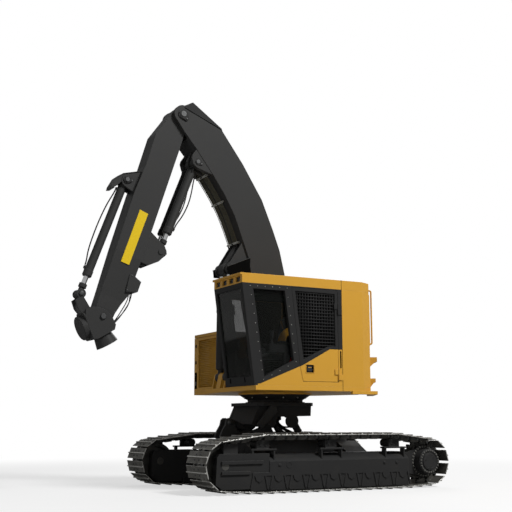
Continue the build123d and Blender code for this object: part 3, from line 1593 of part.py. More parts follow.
skirt_plane = Plane(
    origin=(SWING_X + SKIRT_TOP[0], 0, SKIRT_TOP[1]),
    x_dir=(0, 1, 0),
    z_dir=(SKIRT_DIR[0], 0, SKIRT_DIR[1]),
)
with BuildPart() as wrist_skirt:
    with BuildSketch(skirt_plane) as top:
        Circle(150)
    with BuildSketch(skirt_plane.offset(SKIRT_LONG)) as rim:
        Circle(185)
    loft()
    with BuildSketch(skirt_plane.offset(SKIRT_LONG)):
        Circle(160)
    extrude(amount=-SKIRT_POCKET, mode=Mode.SUBTRACT)
    with BuildSketch(skirt_plane.offset(SKIRT_LONG - SKIRT_POCKET)):
        with PolarLocations(HEAD_CIRCLE / 2, HEAD_BOLTS):
            Circle(HEAD_HOLE)
    extrude(amount=-50, mode=Mode.SUBTRACT)
save(wrist_skirt.part, "wrist_skirt")

with BuildPart() as stick_pins:
    cross_pin(swing([WRIST])[0], PIN_RADIUS, -WRIST_OUT - HEAD, WRIST_OUT + HEAD)
    cross_pin(
        swing([TILT_BASE])[0], PIN_RADIUS, -TILT_EAR_OUT - HEAD, TILT_EAR_OUT + HEAD
    )
    for side in (-1, 1):
        for place, face, radius in ((TILT_BASE, TILT_EAR_OUT, 66), (CROWD_EYE, CROWD_EAR_OUT, 48)):
            low, high = sorted((side * face, side * (face + HEAD)))
            cross_pin(swing([place])[0], radius, low, high)
save(stick_pins.part, "stick_pins")

with BuildPart() as wrist_pins:
    for side in (-1, 1):
        low, high = sorted((side * TILT_EAR_OUT, side * (TILT_EAR_OUT + HEAD)))
        cross_pin(swing([TILT_EYE])[0], 44, low, high)
save(wrist_pins.part, "wrist_pins")

# ================================================================ rams
for name, base, eye, size, places in (
    ("hoist", HOIST_BASE, HOIST_EYE, HOIST, (-HOIST_Y, HOIST_Y)),
    ("crowd", CROWD_BASE, CROWD_EYE, CROWD, (-CROWD_Y, CROWD_Y)),
    ("tilt", TILT_BASE, TILT_EYE, TILT, (0,)),
):
    with BuildPart() as barrels:
        for y in places:
            barrel(base, eye, y, size)
    save(barrels.part, f"{name}_barrels")
    with BuildPart() as rods:
        for y in places:
            rod(base, eye, y, size)
    save(rods.part, f"{name}_rods")
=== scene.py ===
"""A tracked forestry harvester: finishes, fittings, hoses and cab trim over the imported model."""

from __future__ import annotations

import json
import logging
import math
from dataclasses import dataclass
from enum import Enum
from typing import Callable, Iterable, Sequence, Union

import bmesh
import bpy
from mathutils import Matrix, Vector
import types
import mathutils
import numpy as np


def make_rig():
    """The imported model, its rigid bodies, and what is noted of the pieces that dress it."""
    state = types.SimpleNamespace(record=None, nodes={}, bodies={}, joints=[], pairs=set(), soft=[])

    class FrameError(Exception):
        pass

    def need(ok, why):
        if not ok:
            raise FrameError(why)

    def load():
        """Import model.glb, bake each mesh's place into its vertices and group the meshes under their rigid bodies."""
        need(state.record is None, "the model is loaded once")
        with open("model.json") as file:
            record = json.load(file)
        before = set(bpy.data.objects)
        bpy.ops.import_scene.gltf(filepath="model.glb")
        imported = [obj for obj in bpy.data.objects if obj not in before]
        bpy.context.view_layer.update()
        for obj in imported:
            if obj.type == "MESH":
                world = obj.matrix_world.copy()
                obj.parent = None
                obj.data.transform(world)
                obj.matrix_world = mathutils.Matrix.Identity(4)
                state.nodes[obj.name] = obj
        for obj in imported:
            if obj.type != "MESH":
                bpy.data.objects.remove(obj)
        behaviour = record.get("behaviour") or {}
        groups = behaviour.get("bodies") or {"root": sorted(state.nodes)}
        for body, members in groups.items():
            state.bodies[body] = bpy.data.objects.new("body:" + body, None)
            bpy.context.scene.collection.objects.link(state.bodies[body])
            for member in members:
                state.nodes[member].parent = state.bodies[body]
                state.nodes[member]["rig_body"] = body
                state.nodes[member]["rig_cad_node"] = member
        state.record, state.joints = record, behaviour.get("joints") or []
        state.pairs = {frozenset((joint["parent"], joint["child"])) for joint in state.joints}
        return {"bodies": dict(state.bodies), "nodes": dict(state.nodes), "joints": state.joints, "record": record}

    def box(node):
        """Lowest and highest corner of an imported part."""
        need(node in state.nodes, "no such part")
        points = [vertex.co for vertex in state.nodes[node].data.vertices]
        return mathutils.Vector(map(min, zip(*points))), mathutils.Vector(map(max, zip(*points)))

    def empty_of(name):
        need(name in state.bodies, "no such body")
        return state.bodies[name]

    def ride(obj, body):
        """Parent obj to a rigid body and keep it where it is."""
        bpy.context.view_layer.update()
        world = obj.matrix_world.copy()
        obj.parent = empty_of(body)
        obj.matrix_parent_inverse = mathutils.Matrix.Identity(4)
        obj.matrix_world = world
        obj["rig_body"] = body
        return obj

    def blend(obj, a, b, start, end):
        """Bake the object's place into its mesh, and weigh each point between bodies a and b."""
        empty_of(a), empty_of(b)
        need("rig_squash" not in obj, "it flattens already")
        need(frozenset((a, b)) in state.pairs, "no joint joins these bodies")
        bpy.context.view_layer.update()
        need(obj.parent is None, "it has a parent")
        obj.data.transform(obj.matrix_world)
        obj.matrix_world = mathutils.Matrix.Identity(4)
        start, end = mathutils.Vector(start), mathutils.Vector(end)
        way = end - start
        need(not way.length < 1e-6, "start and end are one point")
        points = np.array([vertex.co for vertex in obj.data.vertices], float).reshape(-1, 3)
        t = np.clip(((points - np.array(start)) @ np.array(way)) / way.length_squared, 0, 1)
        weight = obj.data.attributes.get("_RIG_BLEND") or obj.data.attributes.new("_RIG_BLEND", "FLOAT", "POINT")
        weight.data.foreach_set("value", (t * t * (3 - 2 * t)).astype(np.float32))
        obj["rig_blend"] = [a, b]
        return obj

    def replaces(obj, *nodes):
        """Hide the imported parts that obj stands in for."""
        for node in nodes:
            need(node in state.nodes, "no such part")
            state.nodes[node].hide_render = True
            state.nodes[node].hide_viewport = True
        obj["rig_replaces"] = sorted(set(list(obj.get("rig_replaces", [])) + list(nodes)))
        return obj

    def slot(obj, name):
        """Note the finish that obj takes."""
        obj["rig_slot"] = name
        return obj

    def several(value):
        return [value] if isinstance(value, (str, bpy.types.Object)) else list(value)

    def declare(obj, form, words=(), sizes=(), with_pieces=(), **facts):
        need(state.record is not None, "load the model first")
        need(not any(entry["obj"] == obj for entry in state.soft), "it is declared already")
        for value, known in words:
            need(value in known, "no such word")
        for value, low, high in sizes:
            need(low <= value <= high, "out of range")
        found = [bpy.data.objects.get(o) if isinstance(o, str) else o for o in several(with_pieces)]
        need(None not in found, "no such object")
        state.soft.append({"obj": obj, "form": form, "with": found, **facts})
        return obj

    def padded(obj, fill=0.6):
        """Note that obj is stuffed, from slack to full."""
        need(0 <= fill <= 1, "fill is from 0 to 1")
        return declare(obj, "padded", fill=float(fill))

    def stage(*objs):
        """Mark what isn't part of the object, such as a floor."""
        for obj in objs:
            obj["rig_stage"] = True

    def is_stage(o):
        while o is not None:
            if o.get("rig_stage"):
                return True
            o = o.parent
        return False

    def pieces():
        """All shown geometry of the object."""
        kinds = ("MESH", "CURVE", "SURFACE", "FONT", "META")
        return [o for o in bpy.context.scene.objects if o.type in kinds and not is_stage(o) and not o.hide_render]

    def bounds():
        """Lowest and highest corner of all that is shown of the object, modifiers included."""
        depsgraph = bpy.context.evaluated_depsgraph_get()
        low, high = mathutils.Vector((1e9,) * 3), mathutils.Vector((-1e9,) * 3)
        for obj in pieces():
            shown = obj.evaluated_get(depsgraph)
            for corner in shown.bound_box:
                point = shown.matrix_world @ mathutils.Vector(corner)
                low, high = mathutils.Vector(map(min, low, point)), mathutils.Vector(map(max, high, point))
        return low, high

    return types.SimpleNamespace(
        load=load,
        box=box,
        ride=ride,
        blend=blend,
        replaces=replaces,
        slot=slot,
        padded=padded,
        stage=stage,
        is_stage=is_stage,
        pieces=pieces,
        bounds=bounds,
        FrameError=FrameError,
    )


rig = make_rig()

log = logging.getLogger("harvester")

Colour = tuple[float, float, float]
Point = Sequence[float]
Flat = tuple[float, float]
Line = tuple[Flat, ...]
UP = Vector((0.0, 0.0, 1.0))
ACROSS = Vector((0.0, 1.0, 0.0))


# ---------------------------------------- shader arithmetic
class Signal:
    """The value of a shader socket, with arithmetic that adds Math nodes."""

    def __init__(self, tree: bpy.types.NodeTree, socket: bpy.types.NodeSocket) -> None:
        """Wraps one output socket of a node tree."""
        self.tree = tree
        self.socket = socket

    def math(self, operation: str, *operands: Value) -> Signal:
        """Adds a Math node.

        Args:
            operation: The node's operation.
            operands: Its inputs in order, as signals or numbers.

        Returns:
            The node's value.
        """
        node = self.tree.nodes.new("ShaderNodeMath")
        node.operation = operation
        for entry, operand in zip(node.inputs, operands):
            if isinstance(operand, Signal):
                self.tree.links.new(operand.socket, entry)
            else:
                entry.default_value = operand
        return Signal(self.tree, node.outputs[0])

    def __add__(self, other: Value) -> Signal:
        """Adds."""
        return self.math("ADD", self, other)

    def __radd__(self, other: float) -> Signal:
        """Adds to a number."""
        return self.math("ADD", other, self)

    def __sub__(self, other: Value) -> Signal:
        """Subtracts."""
        return self.math("SUBTRACT", self, other)

    def __rsub__(self, other: float) -> Signal:
        """Subtracts from a number."""
        return self.math("SUBTRACT", other, self)

    def __mul__(self, other: Value) -> Signal:
        """Multiplies."""
        return self.math("MULTIPLY", self, other)

    def __rmul__(self, other: float) -> Signal:
        """Multiplies a number."""
        return self.math("MULTIPLY", other, self)

    def __truediv__(self, other: Value) -> Signal:
        """Divides."""
        return self.math("DIVIDE", self, other)

    def __pow__(self, other: Value) -> Signal:
        """Raises to a power."""
        return self.math("POWER", self, other)

    def size(self) -> Signal:
        """Returns the value without its sign."""
        return self.math("ABSOLUTE", self)

    def above(self, level: float) -> Signal:
        """Returns one where the value is over a level."""
        return self.math("GREATER_THAN", self, level)

    def below(self, level: float) -> Signal:
        """Returns one where the value is under a level."""
        return self.math("LESS_THAN", self, level)

    def limited(self) -> Signal:
        """Returns the value held between nought and one."""
        return self.math("MINIMUM", self.math("MAXIMUM", self, 0.0), 1.0)

    def eased(self, low: float, high: float) -> Signal:
        """Returns a smooth step from nought at low to one at high."""
        share = ((self - low) / (high - low)).limited()
        return share * share * (3.0 - share * 2.0)


Value = Union[Signal, float]
Feed = Union[Signal, float, Sequence[float]]
Feeds = dict[Union[str, int], Feed]


class Bench:
    """A material under construction: its node tree and its one shader."""

    def __init__(self, name: str) -> None:
        """Starts a material that holds nothing but a Principled shader and its output."""
        self.material = bpy.data.materials.new(name)
        self.material.use_nodes = True
        self.tree = self.material.node_tree
        self.tree.nodes.clear()
        self.output = self.tree.nodes.new("ShaderNodeOutputMaterial")
        self.shader = self.tree.nodes.new("ShaderNodeBsdfPrincipled")
        self.tree.links.new(self.shader.outputs[0], self.output.inputs["Surface"])

    def node(
        self,
        kind: str,
        settings: dict[str, object] | None = None,
        feeds: Feeds | None = None,
        output: Union[str, int] = 0,
    ) -> Signal:
        """Adds any node.

        Args:
            kind: The node's type.
            settings: Its properties; "stops" are a ramp's positions and greys.
            feeds: The signals or values of its input sockets.
            output: The output that is wanted.

        Returns:
            That output's value.
        """
        made = self.tree.nodes.new(kind)
        for key, value in (settings or {}).items():
            if key == "stops":
                ramp = made.color_ramp
                while len(ramp.elements) < len(value):
                    ramp.elements.new(0.5)
                for stop, (place, grey) in zip(ramp.elements, value):
                    stop.position = place
                    stop.color = (grey, grey, grey, 1.0)
            else:
                setattr(made, key, value)
        for key, value in (feeds or {}).items():
            if isinstance(value, Signal):
                self.tree.links.new(value.socket, made.inputs[key])
            else:
                made.inputs[key].default_value = value
        return Signal(self.tree, made.outputs[output])

    def place(self) -> Signal:
        """Returns Object coordinates."""
        return self.node("ShaderNodeTexCoord", output="Object")

    def axes(self) -> tuple[Signal, Signal, Signal]:
        """Returns the three Object coordinates apart."""
        split = self.node("ShaderNodeSeparateXYZ", feeds={0: self.place()})
        outputs = split.socket.node.outputs
        return tuple(Signal(self.tree, outputs[i]) for i in range(3))

    def noise(self, scale: float, detail: float = 3.0, roughness: float = 0.5) -> Signal:
        """Returns a noise in Object coordinates.

        Args:
            scale: Features to the metre.
            detail: Octaves.
            roughness: How strong the finer octaves are.

        Returns:
            A value about one half.
        """
        return self.node(
            "ShaderNodeTexNoise",
            feeds={"Vector": self.place(), "Scale": scale, "Detail": detail, "Roughness": roughness},
        )

    def streaks(self, scale: float, stretch: Point) -> Signal:
        """Returns a noise that is stretched along some axes.

        Args:
            scale: Features to the metre.
            stretch: Factor of each coordinate.

        Returns:
            A value about one half.
        """
        mapped = self.node(
            "ShaderNodeMapping", {"vector_type": "POINT"}, {"Vector": self.place(), "Scale": stretch}
        )
        return self.node("ShaderNodeTexNoise", feeds={"Vector": mapped, "Scale": scale, "Detail": 4.0})

    def tint(self, factor: Feed, first: Feed, second: Feed) -> Signal:
        """Mixes two colours.

        Args:
            factor: Share of the second colour.
            first: Colour at nought.
            second: Colour at one.

        Returns:
            The mixed colour.
        """
        feeds: Feeds = {0: factor}
        for index, colour in ((6, first), (7, second)):
            feeds[index] = colour if isinstance(colour, Signal) else (*colour, 1.0)
        return self.node("ShaderNodeMix", {"data_type": "RGBA"}, feeds, 2)

    def edges(self, radius: float) -> tuple[Signal, Signal]:
        """Finds edges, for wear and for a painted edge highlight.

        Args:
            radius: Width of the worn and highlit band, in metres.

        Returns:
            The rounded normal and a mask that is one at an edge.
        """
        rounded = self.node("ShaderNodeBevel", {"samples": 4}, {"Radius": radius})
        flat = self.node("ShaderNodeNewGeometry", output="Normal")
        agree = self.node(
            "ShaderNodeVectorMath", {"operation": "DOT_PRODUCT"}, {0: rounded, 1: flat}, "Value"
        )
        return rounded, ((1.0 - agree) * 4.0).limited()

    def relief(self, height: Signal, strength: float, depth: float, base: Signal | None) -> None:
        """Feeds a Bump node to the shader's normal.

        Args:
            height: The relief, nought to one.
            strength: How strongly it shows.
            depth: Its depth in metres.
            base: A normal that it stands on.
        """
        feeds: Feeds = {"Height": height, "Strength": strength, "Distance": depth}
        if base is not None:
            feeds["Normal"] = base
        self.feed("Normal", self.node("ShaderNodeBump", feeds=feeds))

    def feed(self, socket: str, value: Feed) -> None:
        """Sets a socket of the shader.

        Args:
            socket: The socket's name.
            value: A signal, a number or a colour.
        """
        entry = self.shader.inputs[socket]
        if isinstance(value, Signal):
            self.tree.links.new(value.socket, entry)
        elif isinstance(value, (tuple, list)):
            entry.default_value = (*value, 1.0)
        else:
            entry.default_value = value


def shaded(colour: Colour, factor: float) -> Colour:
    """Returns a colour made darker or lighter by a factor."""
    return tuple(min(1.0, part * factor) for part in colour)


# ---------------------------------------- finishes
@dataclass(frozen=True)
class Paint:
    """Sprayed paint over steel, a little dusty, lighter along its edges, partly from wear and partly as a painted edge
    highlight.
    """

    name: str
    colour: Colour
    dust: Colour
    # worn and wear: the edges' lighter colour and how strongly it shows; partly wear, partly a painted edge highlight
    worn: Colour
    roughness: float
    wear: float = 0.5
    dusting: float = 0.1
    coat: float = 0.0
    lining: Colour | None = None  # what the cab's inside is trimmed in
    inside: tuple[Point, Point] | None = None  # the box that the lining fills

    def make(self) -> bpy.types.Material:
        """Builds the material."""
        bench = Bench(self.name)
        broad = bench.noise(0.7, 3.0)
        fine = bench.noise(14.0, 4.0, 0.6)
        normal, edge = bench.edges(0.008)
        body = bench.tint(broad, shaded(self.colour, 0.93), shaded(self.colour, 1.05))
        facing = bench.node(
            "ShaderNodeSeparateXYZ",
            feeds={0: bench.node("ShaderNodeNewGeometry", output="Normal")},
            output=2,
        )
        settled = (facing.eased(0.5, 1.0) * 0.75 + 0.25) * bench.noise(3.2, 5.0).eased(0.42, 0.72)
        body = bench.tint(settled * self.dusting, body, self.dust)
        # Edges go lighter: partly wear, partly a painted edge highlight.
        wear_highlight_mask = edge * fine.eased(0.3, 0.62) * self.wear
        body = bench.tint(wear_highlight_mask, body, self.worn)
        rough = self.roughness + (fine - 0.5) * 0.1 + settled * 0.12
        if self.lining is not None and self.inside is not None:
            low, high = self.inside
            within: Signal | None = None
            for axis, floor, ceiling in zip(bench.axes(), low, high):
                span = axis.above(floor) * axis.below(ceiling)
                within = span if within is None else within * span
            body = bench.tint(within, body, self.lining)
            rough = rough + within * 0.3
        bench.feed("Base Color", body)
        bench.feed("Roughness", rough.limited())
        bench.feed("Coat Weight", self.coat)
        bench.shader.inputs["Coat Roughness"].default_value = 0.12
        bench.shader.inputs["Specular IOR Level"].default_value = 0.07
        bench.relief(bench.noise(420.0, 1.0), 0.05, 0.0006, normal)
        return bench.material


@dataclass(frozen=True)
class Steel:
    """Bare or worn metal, with scratches along it, darker pits, and edges lighter partly from wear and partly as a
    painted highlight.
    """

    name: str
    colour: Colour
    dark: Colour
    roughness: float
    metallic: float = 1.0
    scale: float = 30.0
    stretch: tuple[float, float, float] = (1.0, 1.0, 1.0)
    pitting: float = 0.4
    # how much lighter the edges are: partly wear, partly a painted highlight
    edge_wear_highlight: float = 0.4

    def make(self) -> bpy.types.Material:
        """Builds the material."""
        bench = Bench(self.name)
        normal, edge = bench.edges(0.005)
        grain = bench.streaks(self.scale, self.stretch)
        blotch = bench.noise(6.0, 4.0, 0.6).eased(0.35, 0.7)
        body = bench.tint(blotch * self.pitting, self.colour, self.dark)
        # Lighter edges: partly wear, partly a painted edge highlight.
        body = bench.tint(edge * self.edge_wear_highlight, body, shaded(self.colour, 1.9))
        bench.feed("Base Color", body)
        bench.feed("Metallic", self.metallic)
        bench.feed("Roughness", (self.roughness + (grain - 0.5) * 0.25 + blotch * 0.1).limited())
        bench.relief(grain, 0.12, 0.0012, normal)
        return bench.material


@dataclass(frozen=True)
class Chrome:
    """Hard chrome on a ram's rod, ground round, with a film of oil."""

    name: str = "rod_chrome"

    def make(self) -> bpy.types.Material:
        """Builds the material."""
        bench = Bench(self.name)
        film = bench.noise(9.0, 3.0).eased(0.4, 0.75)
        bench.feed("Base Color", bench.tint(film, (0.86, 0.87, 0.88), (0.68, 0.68, 0.66)))
        bench.feed("Metallic", 1.0)
        bench.feed("Roughness", 0.1 + film * 0.1)
        bench.relief(bench.noise(700.0, 1.0), 0.02, 0.0003, None)
        return bench.material


@dataclass(frozen=True)
class Rubber:
    """Hose rubber or a moulded plastic, matt, with a fine grain."""

    name: str
    colour: Colour
    roughness: float = 0.62
    grain: float = 260.0
    depth: float = 0.0006
    gloss: float = 0.12

    def make(self) -> bpy.types.Material:
        """Builds the material."""
        bench = Bench(self.name)
        dust = bench.noise(5.0, 4.0).eased(0.42, 0.75)
        grain = bench.noise(self.grain, 2.0)
        bench.feed("Base Color", bench.tint(dust * 0.5, self.colour, shaded(self.colour, 1.7)))
        bench.feed("Roughness", (self.roughness + dust * 0.12 + (grain - 0.5) * 0.15).limited())
        bench.shader.inputs["Specular IOR Level"].default_value = self.gloss
        bench.relief(grain, 0.25, self.depth, None)
        return bench.material


@dataclass(frozen=True)
class Cloth:
    """The woven cover of the operator's chair."""

    name: str
    colour: Colour
    thread: float = 320.0

    def make(self) -> bpy.types.Material:
        """Builds the material."""
        bench = Bench(self.name)
        warp, weft = (
            bench.node(
                "ShaderNodeTexWave",
                {"bands_direction": direction},
                {"Vector": bench.place(), "Scale": self.thread, "Distortion": 0.6},
                "Fac",
            )
            for direction in ("X", "Z")
        )
        weave = warp * weft
        wear = bench.noise(4.0, 3.0)
        body = bench.tint(weave, shaded(self.colour, 0.55), shaded(self.colour, 1.25))
        bench.feed("Base Color", bench.tint(wear * 0.3, body, shaded(self.colour, 1.5)))
        bench.feed("Roughness", 0.85 + (weave - 0.5) * 0.1)
        bench.shader.inputs["Sheen Weight"].default_value = 0.3
        bench.relief(weave, 0.5, 0.001, None)
        return bench.material


@dataclass(frozen=True)
class TintedGlass:
    """Cab glazing: dark, reflective, partly see-through."""

    name: str
    colour: Colour
    cover: float

    def make(self) -> bpy.types.Material:
        """Builds the material."""
        bench = Bench(self.name)
        smear = bench.noise(2.4, 4.0).eased(0.45, 0.8)
        bench.feed("Base Color", bench.tint(smear, self.colour, shaded(self.colour, 1.6)))
        bench.feed("Roughness", 0.03 + smear * 0.05)
        bench.feed("Alpha", (self.cover + smear * 0.05).limited())
        bench.shader.inputs["Specular IOR Level"].default_value = 0.22
        return bench.material


@dataclass(frozen=True)
class Lens:
    """A lamp's clear cover over its ribbed reflector, coloured near-black as painted shade inside the lamp."""

    name: str = "lamp_lens"

    def make(self) -> bpy.types.Material:
        """Builds the material."""
        bench = Bench(self.name)
        ribs = bench.node(
            "ShaderNodeTexWave",
            {"bands_direction": "Y"},
            {"Vector": bench.place(), "Scale": 26.0},
            "Fac",
        )
        # Near-black: painted shade of the lamp's unlit inside; the ribs a little lighter.
        bench.feed("Base Color", bench.tint(ribs, (0.018, 0.018, 0.018), (0.06, 0.06, 0.06)))
        bench.feed("Metallic", 0.4)
        bench.feed("Roughness", 0.12 + ribs * 0.15)
        bench.feed("Coat Weight", 0.25)
        bench.relief(ribs, 0.5, 0.003, None)
        return bench.material


class Finish(Enum):
    """Every finish on the machine."""

    YELLOW = "yellow"
    CAB_YELLOW = "cab_yellow"
    CHARCOAL = "charcoal"
    FRAME_BLACK = "frame_black"
    UNDER_GREY = "under_grey"
    SHOE = "shoe"
    SHOE_EDGE = "shoe_edge"
    LINK = "link"
    PIN = "pin"
    BOLT = "bolt"
    CHROME = "chrome"
    GLASS = "glass"
    SIDE_GLASS = "side_glass"
    HOSE = "hose"
    TUBE = "tube"
    PLASTIC = "plastic"
    CLOTH = "cloth"
    BELT = "belt"
    RED = "red"
    LABEL = "label"
    IRON = "iron"
    LENS = "lens"
    # near-black: black parts, and black put where shade is painted
    RECESS = "recess"


class PaintShop:
    """Makes each finish once and hands it out."""

    def __init__(self, cab_inside: tuple[Point, Point]) -> None:
        """Makes every material.

        Args:
            cab_inside: The box that the cab's lining fills.
        """
        yellow: Colour = (0.6, 0.315, 0.04)
        dust: Colour = (0.36, 0.3, 0.22)
        recipes: dict[Finish, object] = {
            Finish.YELLOW: Paint(
                "machine_yellow", yellow, dust, (0.75, 0.5, 0.22), 0.42, 0.45, 0.05, 0.15
            ),
            Finish.CAB_YELLOW: Paint(
                "cab_yellow", yellow, dust, (0.75, 0.5, 0.22), 0.42, 0.45, 0.05, 0.15,
                (0.03, 0.031, 0.03), cab_inside,
            ),
            Finish.CHARCOAL: Paint(
                "arm_charcoal", (0.038, 0.038, 0.0375), (0.07, 0.066, 0.058),
                (0.15, 0.15, 0.15), 0.48, 0.6, 0.1,
            ),
            Finish.FRAME_BLACK: Paint(
                "window_frame_dark", (0.024, 0.024, 0.024), (0.06, 0.055, 0.047),
                (0.1, 0.1, 0.1), 0.5, 0.5, 0.08,
            ),
            Finish.UNDER_GREY: Paint(
                "undercarriage_dark", (0.025, 0.025, 0.025), (0.07, 0.062, 0.05),
                (0.09, 0.088, 0.085), 0.52, 0.8, 0.18,
            ),
            Finish.SHOE: Steel(
                "shoe_steel", (0.125, 0.122, 0.11), (0.05, 0.047, 0.04), 0.55,
                0.55, 18.0, (1.0, 0.25, 1.0), 0.6, 0.9,
            ),
            # Bar tips and plate edges: bright worn steel, partly a painted highlight along the edges.
            Finish.SHOE_EDGE: Steel(
                "worn_bar", (0.52, 0.515, 0.49), (0.2, 0.195, 0.175), 0.38,
                0.75, 22.0, (1.0, 0.3, 1.0), 0.5, 0.8,
            ),
            Finish.LINK: Steel(
                "link_steel", (0.085, 0.083, 0.076), (0.035, 0.033, 0.029), 0.48,
                0.7, 24.0, (1.0, 1.0, 1.0), 0.6, 0.9,
            ),
            Finish.PIN: Steel(
                "pin_steel", (0.06, 0.062, 0.063), (0.05, 0.048, 0.044), 0.45,
                0.7, 30.0, (1.0, 0.3, 1.0), 0.4, 0.5,
            ),
            Finish.BOLT: Steel(
                "zinc_bolt", (0.52, 0.52, 0.48), (0.25, 0.24, 0.2), 0.36,
                0.85, 40.0, (1.0, 1.0, 1.0), 0.3, 0.3,
            ),
            Finish.CHROME: Chrome(),
            Finish.GLASS: TintedGlass("front_glazing", (0.012, 0.013, 0.011), 0.58),
            Finish.SIDE_GLASS: TintedGlass("side_glazing", (0.005, 0.006, 0.005), 0.34),
            Finish.HOSE: Rubber("hose_rubber", (0.018, 0.018, 0.018), 0.55),
            Finish.TUBE: Paint(
                "oil_tube", (0.115, 0.11, 0.075), (0.13, 0.12, 0.09), (0.2, 0.2, 0.19), 0.42,
                0.5, 0.3,
            ),
            Finish.PLASTIC: Rubber("cab_plastic", (0.03, 0.031, 0.033), 0.55, 180.0, 0.0008),
            Finish.CLOTH: Cloth("chair_cloth", (0.055, 0.058, 0.062)),
            Finish.BELT: Cloth("belt_webbing", (0.55, 0.26, 0.03), 500.0),
            Finish.RED: Paint(
                "extinguisher_red", (0.6, 0.022, 0.018), (0.2, 0.1, 0.08), (0.5, 0.3, 0.28),
                0.3, 0.3, 0.05, 0.5,
            ),
            Finish.LABEL: Paint(
                "blank_label", (0.72, 0.5, 0.015), (0.45, 0.36, 0.16), (0.85, 0.68, 0.2), 0.45,
                0.1, 0.05, 0.2,
            ),
            Finish.IRON: Steel(
                "engine_iron", (0.075, 0.075, 0.078), (0.03, 0.03, 0.03), 0.55,
                0.5, 20.0, (1.0, 1.0, 1.0), 0.6, 0.6,
            ),
            Finish.LENS: Lens(),
            # Near-black: the colour of black parts, and painted shade in slots, recesses, under louvres, on the track
            # rollers and on the boom.
            Finish.RECESS: Rubber("dark_recess", (0.004, 0.004, 0.004), 0.9, gloss=0.0),
        }
        self.made = {key: recipe.make() for key, recipe in recipes.items()}

    def __getitem__(self, finish: Finish) -> bpy.types.Material:
        """Returns a finish's material."""
        return self.made[finish]

    def coat(self, node: bpy.types.Object, finish: Finish) -> None:
        """Gives a CAD node one finish all over."""
        node.data.materials.clear()
        node.data.materials.append(self[finish])


# ---------------------------------------- forms
def placed(name: str, data: bpy.types.ID) -> bpy.types.Object:
    """Puts a new object in the scene.

    Args:
        name: Its name.
        data: Its mesh, lamp or camera.

    Returns:
        The object.
    """
    made = bpy.data.objects.new(name, data)
    bpy.context.scene.collection.objects.link(made)
    return made


